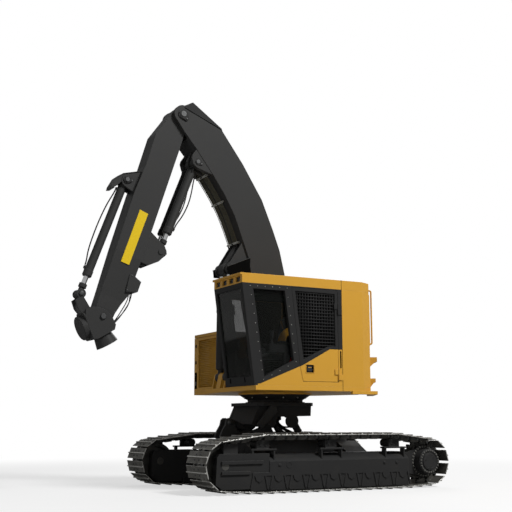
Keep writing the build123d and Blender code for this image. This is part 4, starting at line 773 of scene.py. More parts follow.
class Form:
    """A mesh that is being made, with faces of up to a few finishes."""

    def __init__(self, *finishes: Finish) -> None:
        """Starts an empty mesh whose face materials are these finishes, in order."""
        self.bm = bmesh.new()
        self.finishes = finishes

    def _claim(self, faces: Iterable[bmesh.types.BMFace], finish: Finish | None, smooth: bool) -> None:
        """Gives faces a finish, or the form's first for None, and a shading."""
        place = self.finishes.index(finish) if finish else 0
        for face in faces:
            face.material_index = place
            face.smooth = smooth

    def _bevel(
        self, faces: Iterable[bmesh.types.BMFace], width: float, segments: int,
        finish: Finish | None, smooth: bool,
    ) -> None:
        """Bevels every edge of some faces.

        Args:
            faces: The faces of one closed shape.
            width: The bevel's width; nothing is bevelled at nought.
            segments: How many strips make the bevel.
            finish: The new faces' finish.
            smooth: Whether they are shaded smooth.
        """
        if width:
            grown = bmesh.ops.bevel(
                self.bm, geom=list({edge for face in faces for edge in face.edges}), offset=width,
                offset_type="OFFSET", segments=segments, profile=0.5, affect="EDGES", material=-1,
            )
            self._claim(grown["faces"], finish, smooth)

    def block(
        self, low: Point, high: Point, bevel: float = 0.0, finish: Finish | None = None
    ) -> None:
        """Adds a box.

        Args:
            low: Lowest corner.
            high: Highest corner.
            bevel: Width of its bevelled edges.
            finish: One of its finishes; the first for None.
        """
        low, high = Vector(low), Vector(high)
        size = high - low
        place = Matrix.Translation((low + high) / 2) @ Matrix.Diagonal((*size, 1.0))
        made = bmesh.ops.create_cube(self.bm, size=1.0, matrix=place)
        faces = {face for vert in made["verts"] for face in vert.link_faces}
        self._claim(faces, finish, False)
        self._bevel(faces, bevel, 2, finish, True)

    def slab(
        self, outline: Sequence[Point], push: Point, bevel: float = 0.0, finish: Finish | None = None
    ) -> None:
        """Adds a flat plate of any outline.

        Args:
            outline: Its corners, in order.
            push: The vector from this face to the far one.
            bevel: Width of its bevelled edges.
            finish: One of its finishes; the first for None.
        """
        verts = [self.bm.verts.new(corner) for corner in outline]
        face = self.bm.faces.new(verts)
        grown = bmesh.ops.extrude_face_region(self.bm, geom=[face], use_keep_orig=True)
        fresh = [item for item in grown["geom"] if isinstance(item, bmesh.types.BMVert)]
        bmesh.ops.translate(self.bm, vec=Vector(push), verts=fresh)
        faces = list({f for vert in verts + fresh for f in vert.link_faces})
        bmesh.ops.recalc_face_normals(self.bm, faces=faces)
        self._claim(faces, finish, False)
        self._bevel(faces, bevel, 1, finish, False)

    def turned(
        self, origin: Point, axis: Point, profile: Sequence[Flat],
        steps: int = 24, finish: Finish | None = None, smooth: bool = True,
    ) -> None:
        """Adds a turned shape.

        Args:
            origin: Where its axis starts.
            axis: Which way the axis points.
            profile: Pairs of distance along and radius, ends on the axis closed.
            steps: Sides round it.
            finish: One of its finishes; the first for None.
            smooth: Whether its sides are shaded smooth.
        """
        axis = Vector(axis).normalized()
        origin = Vector(origin)
        side = axis.orthogonal().normalized()
        verts = [self.bm.verts.new(origin + axis * along + side * out) for along, out in profile]
        edges = [self.bm.edges.new(pair) for pair in zip(verts, verts[1:])]
        spun = bmesh.ops.spin(
            self.bm, geom=verts + edges, cent=origin, axis=axis, angle=math.tau, steps=steps,
            use_merge=True, use_normal_flip=False, use_duplicate=False,
        )
        ring = {item for item in spun["geom_last"] if isinstance(item, bmesh.types.BMVert)}
        found = {face for vert in set(verts) | ring for face in vert.link_faces}
        todo = list(found)
        while todo:
            for edge in todo.pop().edges:
                for other in edge.link_faces:
                    if other not in found:
                        found.add(other)
                        todo.append(other)
        near = list({vert for face in found for vert in face.verts})
        bmesh.ops.remove_doubles(self.bm, verts=near, dist=1e-5)
        found = {face for face in found if face.is_valid}
        bmesh.ops.recalc_face_normals(self.bm, faces=list(found))
        self._claim(found, finish, smooth)

    def rod(
        self, start: Point, end: Point, radius: float, steps: int = 16,
        finish: Finish | None = None, smooth: bool = True,
    ) -> None:
        """Adds a round bar between two points.

        Args:
            start: Centre of one end.
            end: Centre of the other.
            radius: Its radius.
            steps: Sides round it.
            finish: One of its finishes; the first for None.
            smooth: Whether its side is shaded smooth.
        """
        start, end = Vector(start), Vector(end)
        run = end - start
        turn = run.to_track_quat("Z", "Y").to_matrix().to_4x4()
        place = Matrix.Translation((start + end) / 2) @ turn
        made = bmesh.ops.create_cone(
            self.bm, cap_ends=True, cap_tris=False, segments=steps, radius1=radius,
            radius2=radius, depth=run.length, matrix=place,
        )
        faces = {face for vert in made["verts"] for face in vert.link_faces}
        self._claim(faces, finish, False)
        for face in faces:
            face.smooth = smooth and len(face.verts) == 4

    def bolt(
        self, foot: Point, axis: Point, radius: float, height: float, finish: Finish | None = None
    ) -> None:
        """Adds a hexagon head on its washer.

        Args:
            foot: Where it sits.
            axis: Which way it points.
            radius: Across its corners, halved.
            height: Its height with the washer.
            finish: One of its finishes; the first for None.
        """
        foot, axis = Vector(foot), Vector(axis).normalized()
        self.rod(foot, foot + axis * height * 0.25, radius * 1.3, 12, finish, False)
        self.rod(foot + axis * height * 0.2, foot + axis * height, radius, 6, finish, False)

    def stud(
        self, foot: Point, axis: Point, radius: float, height: float, finish: Finish | None = None
    ) -> None:
        """Adds a low domed screw head.

        Args:
            foot: Where it sits.
            axis: Which way it points.
            radius: Its radius.
            height: Its height.
            finish: One of its finishes; the first for None.
        """
        dome = [(0.0, radius), (height * 0.5, radius * 0.85), (height, radius * 0.4), (height, 0.0)]
        self.turned(foot, axis, dome, 10, finish)

    def repaint(self, finish: Finish, test: Callable[[Vector], bool]) -> None:
        """Changes the finish of some faces.

        Args:
            finish: Their new finish.
            test: Takes a face's middle and says whether it changes.
        """
        place = self.finishes.index(finish)
        for face in self.bm.faces:
            if test(face.calc_center_median()):
                face.material_index = place

    def stamp(self, pattern: "Form", places: Sequence[Matrix]) -> None:
        """Adds copies of another form, and uses it up.

        Args:
            pattern: The form that is copied, with this one's finishes.
            places: Where each copy goes.
        """
        mesh = bpy.data.meshes.new("pattern")
        pattern.bm.to_mesh(mesh)
        pattern.bm.free()
        for place in places:
            before = len(self.bm.verts)
            self.bm.from_mesh(mesh)
            self.bm.verts.ensure_lookup_table()
            bmesh.ops.transform(self.bm, matrix=place, verts=self.bm.verts[before:])
        bpy.data.meshes.remove(mesh)

    def mirrored(self) -> None:
        """Adds the mirror image of everything, across the middle of the machine."""
        made = bmesh.ops.duplicate(self.bm, geom=self.bm.verts[:] + self.bm.edges[:] + self.bm.faces[:])
        verts = [item for item in made["geom"] if isinstance(item, bmesh.types.BMVert)]
        faces = [item for item in made["geom"] if isinstance(item, bmesh.types.BMFace)]
        for vert in verts:
            vert.co.y = -vert.co.y
        bmesh.ops.reverse_faces(self.bm, faces=faces)

    def object(self, name: str, body: str, shop: PaintShop, slot: str | None = None) -> bpy.types.Object:
        """Finishes the mesh.

        Args:
            name: The piece's name.
            body: The body that it rides on.
            shop: Where its materials come from.
            slot: The record's material slot.

        Returns:
            The new object.
        """
        mesh = bpy.data.meshes.new(name)
        self.bm.to_mesh(mesh)
        self.bm.free()
        for finish in self.finishes:
            mesh.materials.append(shop[finish])
        made = placed(name, mesh)
        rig.ride(made, body)
        if slot:
            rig.slot(made, slot)
        log.info("%s: %d faces on %s", name, len(mesh.polygons), body)
        return made


def hose(
    name: str, routes: Sequence[Sequence[Point]], radius: float, finish: bpy.types.Material,
    body: str | None,
) -> bpy.types.Object:
    """Makes hoses or tubes from smooth routes.

    Args:
        name: The piece's name.
        routes: Control points of each line.
        radius: Outer radius.
        finish: The material.
        body: The body that they ride on, or None for a hose that is blended after.

    Returns:
        The new mesh object.
    """
    curve = bpy.data.curves.new(name, "CURVE")
    curve.dimensions = "3D"
    curve.resolution_u = 5
    curve.bevel_depth = radius
    curve.bevel_resolution = 2
    curve.use_fill_caps = True
    for route in routes:
        spline = curve.splines.new("NURBS")
        spline.points.add(len(route) - 1)
        for knot, place in zip(spline.points, route):
            knot.co = (*place, 1.0)
        spline.order_u = 3
        spline.use_endpoint_u = True
    holder = bpy.data.objects.new(name + "_line", curve)
    mesh = bpy.data.meshes.new_from_object(holder)
    bpy.data.objects.remove(holder)
    bpy.data.curves.remove(curve)
    mesh.name = name
    mesh.materials.clear()
    mesh.materials.append(finish)
    made = placed(name, mesh)
    for face in mesh.polygons:
        face.use_smooth = True
    if body is not None:
        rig.ride(made, body)
        log.info("%s: %d faces on %s", name, len(mesh.polygons), body)
    return made


# ---------------------------------------- places
def loop(corners: Sequence[Flat]) -> list[tuple[Flat, Flat]]:
    """Pairs every corner of an outline with the next one, and the last with the first."""
    return list(zip(corners, corners[1:] + corners[:1]))


def border(low: Flat, high: Flat, wide: float) -> list[tuple[Flat, Flat]]:
    """Lists the four strips of the frame round an opening.

    Args:
        low: The opening's lowest corner.
        high: Its highest corner.
        wide: The strips' width.

    Returns:
        The lowest and highest corner of each strip.
    """
    (left, bottom), (right, top) = low, high
    return [
        ((left - wide, bottom - wide), (right + wide, bottom)),
        ((left - wide, top), (right + wide, top + wide)),
        ((left - wide, bottom), (left, top)),
        ((right, bottom), (right + wide, top)),
    ]


def spokes(count: int) -> list[Vector]:
    """Returns level directions at even angles, the first half a step round."""
    angles = [math.tau * (i + 0.5) / count for i in range(count)]
    return [Vector((math.cos(angle), math.sin(angle), 0.0)) for angle in angles]


def outward(start: Vector, end: Vector) -> Vector:
    """Returns the level direction that points back out of a wall of the house.

    Args:
        start: One end of the wall.
        end: Its other end.

    Returns:
        A unit vector square to the wall.
    """
    out = (end - start).normalized().cross(UP)
    return out if out.x < 0 else -out


@dataclass(frozen=True)
class Yard:
    """What every sub-assembly needs: where it is measured from, the finishes and the CAD nodes."""

    swing: float  # x of the swing axis
    shop: PaintShop
    nodes: dict[str, bpy.types.Object]
    track_back: float = 0.2  # the middle of the tracks behind it

    def at(self, x: float, y: float, z: float) -> Vector:
        """Returns a point whose x counts forward from the swing axis."""
        return Vector((self.swing + x, y, z))

    def by_track(self, x: float, y: float, z: float) -> Vector:
        """Returns a point whose x counts forward from the middle of the tracks."""
        return Vector((self.swing - self.track_back + x, y, z))

    def outline(self, points: Sequence[Flat], y: float) -> list[Vector]:
        """Returns (x, z) points as corners of a face that stands at one y."""
        return [self.at(x, y, z) for x, z in points]

    def coat(self, names: str, finish: Finish) -> None:
        """Gives CAD nodes one finish.

        Args:
            names: The nodes' names, with spaces between them.
            finish: The finish that they all get.
        """
        for name in names.split():
            self.shop.coat(self.nodes[name], finish)
            log.info("%s: %s", name, finish.value)

    def coat_part(
        self, name: str, finish: Finish, other: Finish, test: Callable[[Vector], bool]
    ) -> None:
        """Gives a CAD node one finish, and another on the faces that pass a test.

        Args:
            name: The node's name.
            finish: The finish of most of it.
            other: The finish of the chosen faces.
            test: Takes a face's middle and says whether it is chosen.
        """
        mesh = self.nodes[name].data
        mesh.materials.clear()
        for part in (finish, other):
            mesh.materials.append(self.shop[part])
        for face in mesh.polygons:
            face.material_index = int(test(face.center))
        log.info("%s: %s and %s", name, finish.value, other.value)


# ---------------------------------------- undercarriage
@dataclass
class TrackChain:
    """The two steel tracks: plates with one bar each, links, pins and bolts."""

    yard: Yard
    wheels: tuple[tuple[float, float, float], ...] = (  # x from the track's middle, z, radius
        (-1.4, 0.202, 0.138),
        (1.344, 0.202, 0.138),
        (1.925, 0.43, 0.338),
        (1.26, 0.743, 0.113),
        (-1.26, 0.743, 0.113),
        (-1.915, 0.43, 0.338),
    )
    shoes: int = 48
    middle: float = 1.255
    half_width: float = 0.35
    plate_half: float = 0.096
    plate: Flat = (0.028, 0.042)
    bar_tip: float = 0.064
    bar_root: float = 0.017
    bar_land: float = 0.007
    bevel: float = 0.0015
    link_sides: tuple[float, float, float] = (0.052, 0.0745, 0.097)
    link_reach: float = 0.102
    rail: float = 0.048
    finishes: tuple[Finish, ...] = (Finish.SHOE, Finish.SHOE_EDGE, Finish.LINK, Finish.PIN)

    def spans(self) -> list[tuple[float, Flat, float, float]]:
        """Lists the straight runs and arcs of the pitch line.

        Returns:
            The length, place, radius and first angle of each; a straight run has no radius.
        """
        normals = []
        for wheel, after in loop(self.wheels):
            reach = math.hypot(after[0] - wheel[0], after[1] - wheel[1])
            heading = math.atan2(after[1] - wheel[1], after[0] - wheel[0])
            normals.append(heading - math.acos((wheel[2] - after[2]) / reach))
        spans = []
        for i, (x, z, radius) in enumerate(self.wheels):
            before, here = normals[i - 1], normals[i]
            spans.append((((here - before) % math.tau) * radius, (x, z), radius, before))
            far_x, far_z, far_radius = self.wheels[(i + 1) % len(self.wheels)]
            start = (x + radius * math.cos(here), z + radius * math.sin(here))
            end = (far_x + far_radius * math.cos(here), far_z + far_radius * math.sin(here))
            spans.append((math.hypot(end[0] - start[0], end[1] - start[1]), start, 0.0, here))
        return spans

    def place(self, distance: float, side: int) -> Matrix:
        """Finds a place on the pitch line.

        Args:
            distance: How far along the line.
            side: 1 for the left track, -1 for the right.

        Returns:
            A matrix whose X runs back along the track, Y across it and Z out of it.
        """
        for length, (x, z), radius, angle in self.spans():
            if distance <= length:
                break
            distance -= length
        if radius:
            angle += distance / radius
            x, z = x + radius * math.cos(angle), z + radius * math.sin(angle)
        else:
            x, z = x - distance * math.sin(angle), z + distance * math.cos(angle)
        back = Vector((math.sin(angle), 0.0, -math.cos(angle)))
        out = Vector((math.cos(angle), 0.0, math.sin(angle)))
        turn = Matrix((back, ACROSS, out)).transposed().to_4x4()
        return Matrix.Translation(self.yard.by_track(x, side * self.middle, z)) @ turn

    def shoe(self) -> Form:
        """Makes one plate with its bar, its pair of links and their bolts.

        Returns:
            The plate, round the origin of its place.
        """
        form = Form(*self.finishes)
        low, high = self.plate
        half, wide = self.plate_half, self.half_width
        profile = [
            (-half, low + 0.003), (-half, high - 0.001), (-half + 0.016, high), (half - 0.016, high),
            (half, high - 0.001), (half, low + 0.003), (half - 0.02, low), (-half + 0.02, low),
        ]
        form.slab([(x, -wide, z) for x, z in profile], (0.0, 2 * wide, 0.0), self.bevel)
        root, land, tip = self.bar_root, self.bar_land, self.bar_tip
        bar = [(-root, high - 0.002), (-land, tip), (land, tip), (root, high - 0.002)]
        form.slab([(x, -wide + 0.004, z) for x, z in bar], (0.0, 2 * wide - 0.008, 0.0), self.bevel)
        # Bar tip, sides and ends take the lighter edge finish: worn steel and a painted highlight.
        form.repaint(
            Finish.SHOE_EDGE,
            lambda spot: spot.z > tip - 0.004 or abs(spot.y) > wide - 0.006 or abs(spot.x) > half - 0.004,
        )
        for side in (-1, 1):
            self.build_link(form, side)
        return form

    def build_link(self, form: Form, side: int) -> None:
        """Adds one link of a plate's pair.

        Args:
            form: The plate's form.
            side: 1 for the left link, -1 for the right.
        """
        low, high = self.plate
        inner, split, outer = self.link_sides
        body = [
            (-0.066, -self.rail + 0.004), (-0.058, -self.rail), (0.058, -self.rail),
            (0.066, -self.rail + 0.004), (0.072, 0.01), (0.06, low), (-0.06, low), (-0.072, 0.01),
        ]
        face = [(x, side * inner, z) for x, z in body]
        form.slab(face, (0.0, side * (outer - inner), 0.0), 0.002, Finish.LINK)
        for x, near, far in ((-self.link_reach, inner, split), (self.link_reach, split, outer)):
            form.rod((x, side * near, 0.0), (x, side * far, 0.0), 0.038, 16, Finish.LINK)
            (back, ahead), (right, left) = sorted((x * 0.55, x)), sorted((side * near, side * far))
            form.block((back, right, -0.034), (ahead, left, 0.026), 0.0, Finish.LINK)
        for x in (-0.046, 0.046):
            form.bolt((x, side * split, high - 0.001), UP, 0.013, 0.013, Finish.PIN)

    def joint(self) -> Form:
        """Makes one pin with its bushing.

        Returns:
            The pin, round the origin of its place.
        """
        form = Form(*self.finishes)
        inner, _, outer = self.link_sides
        form.rod((0.0, -outer - 0.006, 0.0), (0.0, outer + 0.006, 0.0), 0.021, 14, Finish.PIN)
        form.rod((0.0, -inner, 0.0), (0.0, inner, 0.0), 0.033, 16, Finish.PIN)
        return form

    def build(self) -> None:
        """Builds both tracks in place of the plain ones."""
        length = sum(span[0] for span in self.spans())
        pitch = length / self.shoes
        for side, node in ((1, "track_left"), (-1, "track_right")):
            form = Form(*self.finishes)
            form.stamp(self.shoe(), [self.place((i + 0.5) * pitch, side) for i in range(self.shoes)])
            form.stamp(self.joint(), [self.place(i * pitch, side) for i in range(self.shoes)])
            piece = form.object(node + "_chain", "undercarriage", self.yard.shop, "track_steel")
            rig.replaces(piece, node)


@dataclass
class RunningGear:
    """Frames, wheels and final drives between the tracks, with their fasteners."""

    yard: Yard
    drive: Flat = (-1.915, 0.43)  # x from the track's middle, z
    rings: tuple[tuple[int, float, float, float], ...] = (  # bolts, ring radius, face, bolt radius
        (24, 0.183, 1.578, 0.0105),
        (28, 0.243, 1.424, 0.013),
    )
    cover_face: float = 1.588
    plug_ring: float = 0.095
    plug_angles: tuple[float, ...] = (0.4, 2.5, 4.6)
    beam_face: float = 1.505
    beam_height: float = 0.43
    beam_plugs: tuple[float, ...] = (0.984, -1.024, -1.273)
    beam_cover: float = 0.814
    carriers: tuple[float, ...] = (-1.26, 0.0, 1.26)
    carrier_bolt: Flat = (1.46, 0.7327)  # y, z
    bracket_bolt: Flat = (1.44, 0.6125)

    def on_ring(self, radius: float, angle: float, face: float) -> Vector:
        """Finds a point round the drive's axle.

        Args:
            radius: Its distance from the axle.
            angle: Its angle, from forward and up.
            face: Its y.

        Returns:
            The point.
        """
        x, z = self.drive
        return self.yard.by_track(x + radius * math.cos(angle), face, z + radius * math.sin(angle))

    def build_drive(self, form: Form) -> None:
        """Bolts the final drive's flange and drum and adds its plugs.

        Args:
            form: The form of the undercarriage fasteners.
        """
        for count, reach, face, radius in self.rings:
            for i in range(count):
                foot = self.on_ring(reach, math.tau * (i + 0.5) / count, face)
                form.bolt(foot, ACROSS, radius, 0.013, Finish.SHOE)
        plug = [(0.0, 0.02), (0.006, 0.019), (0.006, 0.01), (0.002, 0.01), (0.002, 0.0)]
        for angle in self.plug_angles:
            form.turned(self.on_ring(self.plug_ring, angle, self.cover_face), ACROSS, plug, 12)
        lip = [(0.0, 0.125), (0.004, 0.121), (0.004, 0.113), (0.0, 0.11)]
        form.turned(self.on_ring(0.0, 0.0, self.cover_face), ACROSS, lip, 36)

    def build_beam(self, form: Form) -> None:
        """Adds the plugs and the round cover on the long beam.

        Args:
            form: The form of the undercarriage fasteners.
        """
        for spot in self.beam_plugs:
            foot = self.yard.by_track(spot, self.beam_face, self.beam_height)
            form.turned(foot, ACROSS, [(0.0, 0.03), (0.008, 0.028), (0.008, 0.018)], 16)
            form.bolt(foot, ACROSS, 0.017, 0.018)
        foot = self.yard.by_track(self.beam_cover, self.beam_face, self.beam_height)
        form.turned(foot, ACROSS, [(0.0, 0.052), (0.006, 0.05), (0.006, 0.04), (0.0, 0.038)], 24)

    def build_carriers(self, form: Form) -> None:
        """Bolts the carrier rollers and their brackets.

        Args:
            form: The form of the undercarriage fasteners.
        """
        by_track = self.yard.by_track
        for spot in self.carriers:
            for across in (-0.045, 0.045):
                form.bolt(by_track(spot + across, *self.carrier_bolt), ACROSS, 0.013, 0.014)
            for across in (-0.17, 0.17):
                form.bolt(by_track(spot + across, *self.bracket_bolt), UP, 0.013, 0.016)

    def build(self) -> None:
        """Dresses the nodes and adds the fasteners of both sides."""
        yard = self.yard
        yard.coat(
            "track_frame_left track_frame_right final_drives car_body levelling_yoke "
            "turntable_frame slewing_ring slewing_race carrier_rollers",
            Finish.UNDER_GREY,
        )
        # Painted shade: the track rollers are near-black so that they read as the dark openings between the roller
        # guards.
        yard.coat("track_rollers", Finish.RECESS)
        yard.coat("idlers sprockets", Finish.LINK)
        form = Form(Finish.UNDER_GREY, Finish.SHOE)
        self.build_drive(form)
        self.build_beam(form)
        self.build_carriers(form)
        form.mirrored()
        form.object("undercarriage_fasteners", "undercarriage", yard.shop, "frame_grey")


@dataclass
class Pedestal:
    """What tilts and turns the house: lugs, short rams, the swivel joint, bolts and hoses."""

    yard: Yard
    race_bolts: int = 12
    race_ring: Flat = (0.548, 1.509)  # radius, z
    ring_bolts: int = 36
    ring_ring: Flat = (0.505, 1.42)
    swivel_top: float = 1.37
    swivel: Line = (  # distance down, radius
        (0.0, 0.15), (0.03, 0.15), (0.03, 0.105), (0.24, 0.105), (0.25, 0.07), (0.27, 0.07), (0.27, 0.0),
    )
    lug: Line = (
        (0.7, 0.79), (0.862, 1.05), (0.885, 1.135), (0.925, 1.163), (0.974, 1.163), (1.015, 1.125),
        (1.031, 1.046), (1.096, 0.942), (1.13, 0.86), (0.93, 0.56), (0.89, 0.56),
    )
    lug_pin: Flat = (0.945, 1.087)
    link: Line = (
        (0.945, 1.14), (0.864, 1.142), (0.647, 1.048), (0.43, 1.12), (0.43, 1.0), (0.52, 0.94),
        (0.93, 1.035),
    )
    link_half: float = 0.065
    strut: Line = (
        (0.4, 1.364), (0.29, 1.364), (0.262, 1.262), (0.56, 0.985), (0.65, 1.055),
    )
    ram_top: Flat = (-0.17, 1.095)
    ram_foot: Flat = (-0.33, 0.83)
    ram_side: float = 0.33
    ram_lug: Line = (  # from the ram's foot
        (-0.09, -0.035), (0.1, -0.035), (0.05, 0.045), (0.0, 0.062), (-0.05, 0.045),
    )

    def build_bolts(self) -> None:
        """Bolts the slewing race and ring and hangs the swivel joint."""
        yard, at = self.yard, self.yard.at
        race = Form(Finish.BOLT)
        radius, height = self.race_ring
        for out in spokes(self.race_bolts):
            race.bolt(at(0, 0, height) + out * radius, out * 0.515 - UP * 0.857, 0.013, 0.014)
        race.object("slewing_race_bolts", "house", yard.shop, "frame_grey")
        ring = Form(Finish.UNDER_GREY)
        radius, height = self.ring_ring
        for out in spokes(self.ring_bolts):
            ring.bolt(at(0, 0, height) + out * radius, UP, 0.014, 0.016)
        ring.turned(at(0, 0, self.swivel_top), -UP, self.swivel, 28)
        ring.object("slewing_ring_bolts", "undercarriage", yard.shop, "frame_grey")

    def build_lugs(self) -> None:
        """Adds the front lug with its link, and the struts beside the frame."""
        yard, outline = self.yard, self.yard.outline
        form = Form(Finish.CHARCOAL, Finish.PIN)
        form.slab(outline(self.link, -self.link_half), (0.0, 2 * self.link_half, 0.0), 0.004)
        for side in (-1, 1):
            form.slab(outline(self.lug, side * 0.072), (0.0, side * 0.048, 0.0), 0.003)
            form.slab(outline(self.strut, side * 0.496), (0.0, side * 0.045, 0.0), 0.003)
            eye = yard.at(self.lug_pin[0], side * 0.118, self.lug_pin[1])
            form.turned(eye, ACROSS * side, [(0.0, 0.046), (0.014, 0.044), (0.014, 0.0)], 24, Finish.PIN)
        form.object("pedestal_lugs", "undercarriage", yard.shop, "frame_grey")

    def build_rams(self) -> None:
        """Adds the two short levelling rams with their pins and lugs."""
        yard, at = self.yard, self.yard.at
        form = Form(Finish.UNDER_GREY, Finish.CHROME, Finish.PIN)
        for side in (-1, 1):
            top = at(self.ram_top[0], side * self.ram_side, self.ram_top[1])
            foot = at(self.ram_foot[0], side * self.ram_side, self.ram_foot[1])
            run = foot - top
            form.turned(
                top, run,
                [(0.0, 0.0), (0.0, 0.055), (0.06, 0.062), (run.length * 0.55, 0.062),
                 (run.length * 0.6, 0.068), (run.length * 0.66, 0.064), (run.length * 0.66, 0.036)], 20,
            )
            form.rod(top + run * 0.62, foot, 0.036, 18, Finish.CHROME)
            form.rod(foot - ACROSS * 0.06, foot + ACROSS * 0.06, 0.055, 20)
            form.rod(top - ACROSS * 0.085, top + ACROSS * 0.085, 0.038, 16, Finish.PIN)
            for across in (-0.085, 0.06):
                plate = [foot + ACROSS * across + Vector((x, 0.0, z)) for x, z in self.ram_lug]
                form.slab(plate, (0.0, 0.025, 0.0), 0.003)
        form.object("levelling_rams", "undercarriage", yard.shop, "frame_grey")

    def build_hoses(self) -> None:
        """Runs the hoses from the swivel joint down and out to the rams."""
        yard, at = self.yard, self.yard.at
        routes = []
        for i, y in enumerate((-0.1, -0.035, 0.035, 0.1)):
            start = at(-0.02 + 0.03 * (i % 2), y * 0.6, 1.12)
            routes.append([
                start, start - UP * 0.06, at(-0.1, y * 1.6, 0.98), at(-0.26, y * 2.2, 0.9),
                at(-0.36, y * 2.0, 0.84), at(-0.38, y * 2.0, 0.79),
            ])
        for side in (-1, 1):
            routes.append([
                at(0.02, side * 0.07, 1.15), at(0.0, side * 0.16, 1.03), at(-0.08, side * 0.25, 1.0),
                at(-0.16, side * 0.275, 1.02), at(-0.2, side * 0.29, 1.05),
            ])
        hose("swivel_hoses", routes, 0.015, yard.shop[Finish.HOSE], "undercarriage")

    def build(self) -> None:
        """Builds the pedestal's fittings."""
        self.build_bolts()
        self.build_lugs()
        self.build_rams()
        self.build_hoses()


# ---------------------------------------- cab
@dataclass
class Cab:
    """The cab's outside: frames, glass, door, guard mesh, lamps and screws."""

    yard: Yard
    face: float = 1.493
    lean_foot: Flat = (1.224, 1.678)
    lean_head: Flat = (1.444, 3.27)
    screw_line: Line = ((1.3, 3.228), (0.622, 3.23), (0.462, 2.045), (1.062, 1.752))
    screw_pitch: float = 0.15
    window: Line = ((1.251, 3.185), (0.657, 3.189), (0.506, 2.062), (1.046, 1.803))
    front_window: Line = (  # y, z
        (0.573, 1.8), (1.412, 1.8), (1.412, 3.19), (0.573, 3.19),
    )
    mesh_outline: Line = (
        (0.469, 3.197), (-0.298, 3.189), (-0.298, 2.313), (-0.167, 2.308), (0.322, 2.086),
    )
    mesh_pitch: float = 0.053
    mesh_wire: float = 0.0085
    mesh_plane: float = 1.468
    mesh_seal: float = 1.47
    slot_across: Flat = (0.69, 1.19)
    slot_up: Flat = (1.712, 1.792)
    lamp_across: tuple[float, ...] = (0.64, 0.875, 1.11, 1.345)
    latch: tuple[Flat, Flat] = ((0.125, 1.877), (0.27, 2.002))

    def front(self, z: float) -> float:
        """Returns how far forward the leaning front is at a height."""
        (foot_x, foot_z), (head_x, head_z) = self.lean_foot, self.lean_head
        return foot_x + (z - foot_z) * (head_x - foot_x) / (head_z - foot_z)

    def crossings(self, axis: int, value: float) -> list[float]:
        """Finds where a straight wire meets the guard's outline.

        Args:
            axis: 0 for an upright wire, 1 for a level one.
            value: The wire's place along that axis.

        Returns:
            The other coordinate of each crossing, in order.
        """
        found = []
        for start, end in loop(self.mesh_outline):
            low, high = start[axis], end[axis]
            if (low - value) * (high - value) < 0:
                share = (value - low) / (high - low)
                found.append(start[1 - axis] + (end[1 - axis] - start[1 - axis]) * share)
        return sorted(found)

    def build_mesh(self) -> None:
        """Weaves the door's guard from crossed wires."""
        at, pitch = self.yard.at, self.mesh_pitch
        form = Form(Finish.FRAME_BLACK)
        for axis in (0, 1):
            places = [corner[axis] for corner in self.mesh_outline]
            low, high = min(places), max(places)
            depth = self.mesh_plane + (0.004 if axis else -0.004)
            for i in range(int((high - low) / pitch) + 1):
                value = low + 0.5 * pitch + i * pitch
                ends = self.crossings(axis, value)
                if len(ends) < 2 or ends[-1] - ends[0] < 0.02:
                    continue
                start, end = (
                    at(end, depth, value) if axis else at(value, depth, end)
                    for end in (ends[0] - 0.006, ends[-1] + 0.006)
                )
                form.rod(start, end, self.mesh_wire, 6)
        piece = form.object("door_guard_mesh", "door", self.yard.shop, "paint_black")
        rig.replaces(piece, "door_mesh")

    def build_screws(self) -> None:
        """Sets the screws round the side window."""
        yard = self.yard
        form = Form(Finish.BOLT)
        for start, end in loop(self.screw_line):
            steps = max(1, round(math.dist(start, end) / self.screw_pitch))
            for i in range(steps):
                x = start[0] + (end[0] - start[0]) * i / steps
                z = start[1] + (end[1] - start[1]) * i / steps
                form.stud(yard.at(x, self.face - 0.0005, z), ACROSS, 0.0062, 0.004)
        form.object("window_screws", "house", yard.shop, "pin_steel")

    def build_seals(self) -> None:
        """Lays the rubber round the side window, the guard and the front glass."""
        yard, at = self.yard, self.yard.at
        form = Form(Finish.HOSE)
        for line, y in ((self.window, self.face - 0.004), (self.mesh_outline, self.mesh_seal)):
            for start, end in loop(line):
                form.rod(at(start[0], y, start[1]), at(end[0], y, end[1]), 0.007, 8)
        for (y, z), (far_y, far_z) in loop(self.front_window):
            start = at(self.front(z) - 0.02, y, z)
            form.rod(start, at(self.front(far_z) - 0.02, far_y, far_z), 0.009, 8)
        form.object("window_seals", "house", yard.shop, "paint_black")

    def build_slots(self) -> None:
        """Adds the front frame's drain slots, the door's hinge slot and the seam behind it; the slots are black slabs
        of painted shade.
        """
        yard, at = self.yard, self.yard.at
        form = Form(Finish.RECESS)
        low, high = self.slot_up
        for y in self.slot_across:
            # Each slot is a near-black slab: painted shade inside it.
            corners = [
                at(self.front(z) + 0.0005, y + across, z)
                for z, across in ((low, -0.014), (low, 0.014), (high, 0.014), (high, -0.014))
            ]
            form.slab(corners, (0.003, 0.0, 0.0))
        form.block(at(-0.412, self.face - 0.004, 1.965), at(-0.388, self.face + 0.004, 2.245), 0.004)
        form.block(at(-0.439, self.face - 0.01, 1.587), at(-0.431, self.face - 0.0022, 3.43))
        form.object("frame_slots", "house", yard.shop, "paint_black")

    def build_lamps(self) -> None:
        """Fits the roof's lamps with lenses and rims."""
        yard, at = self.yard, self.yard.at
        form = Form(Finish.LENS, Finish.PLASTIC)
        rims = (
            ((-0.067, 3.29), (-0.058, 3.37)), ((0.058, 3.29), (0.067, 3.37)),
            ((-0.067, 3.29), (0.067, 3.3)), ((-0.067, 3.36), (0.067, 3.37)),
        )
        for y in self.lamp_across:
            form.block(at(1.41, y - 0.06, 3.3), at(1.418, y + 0.06, 3.362), 0.003)
            for low, high in rims:
                start = at(1.405, y + low[0], low[1])
                form.block(start, at(1.424, y + high[0], high[1]), 0.002, Finish.PLASTIC)
        form.object("roof_lamp_fronts", "house", yard.shop, "lamp")

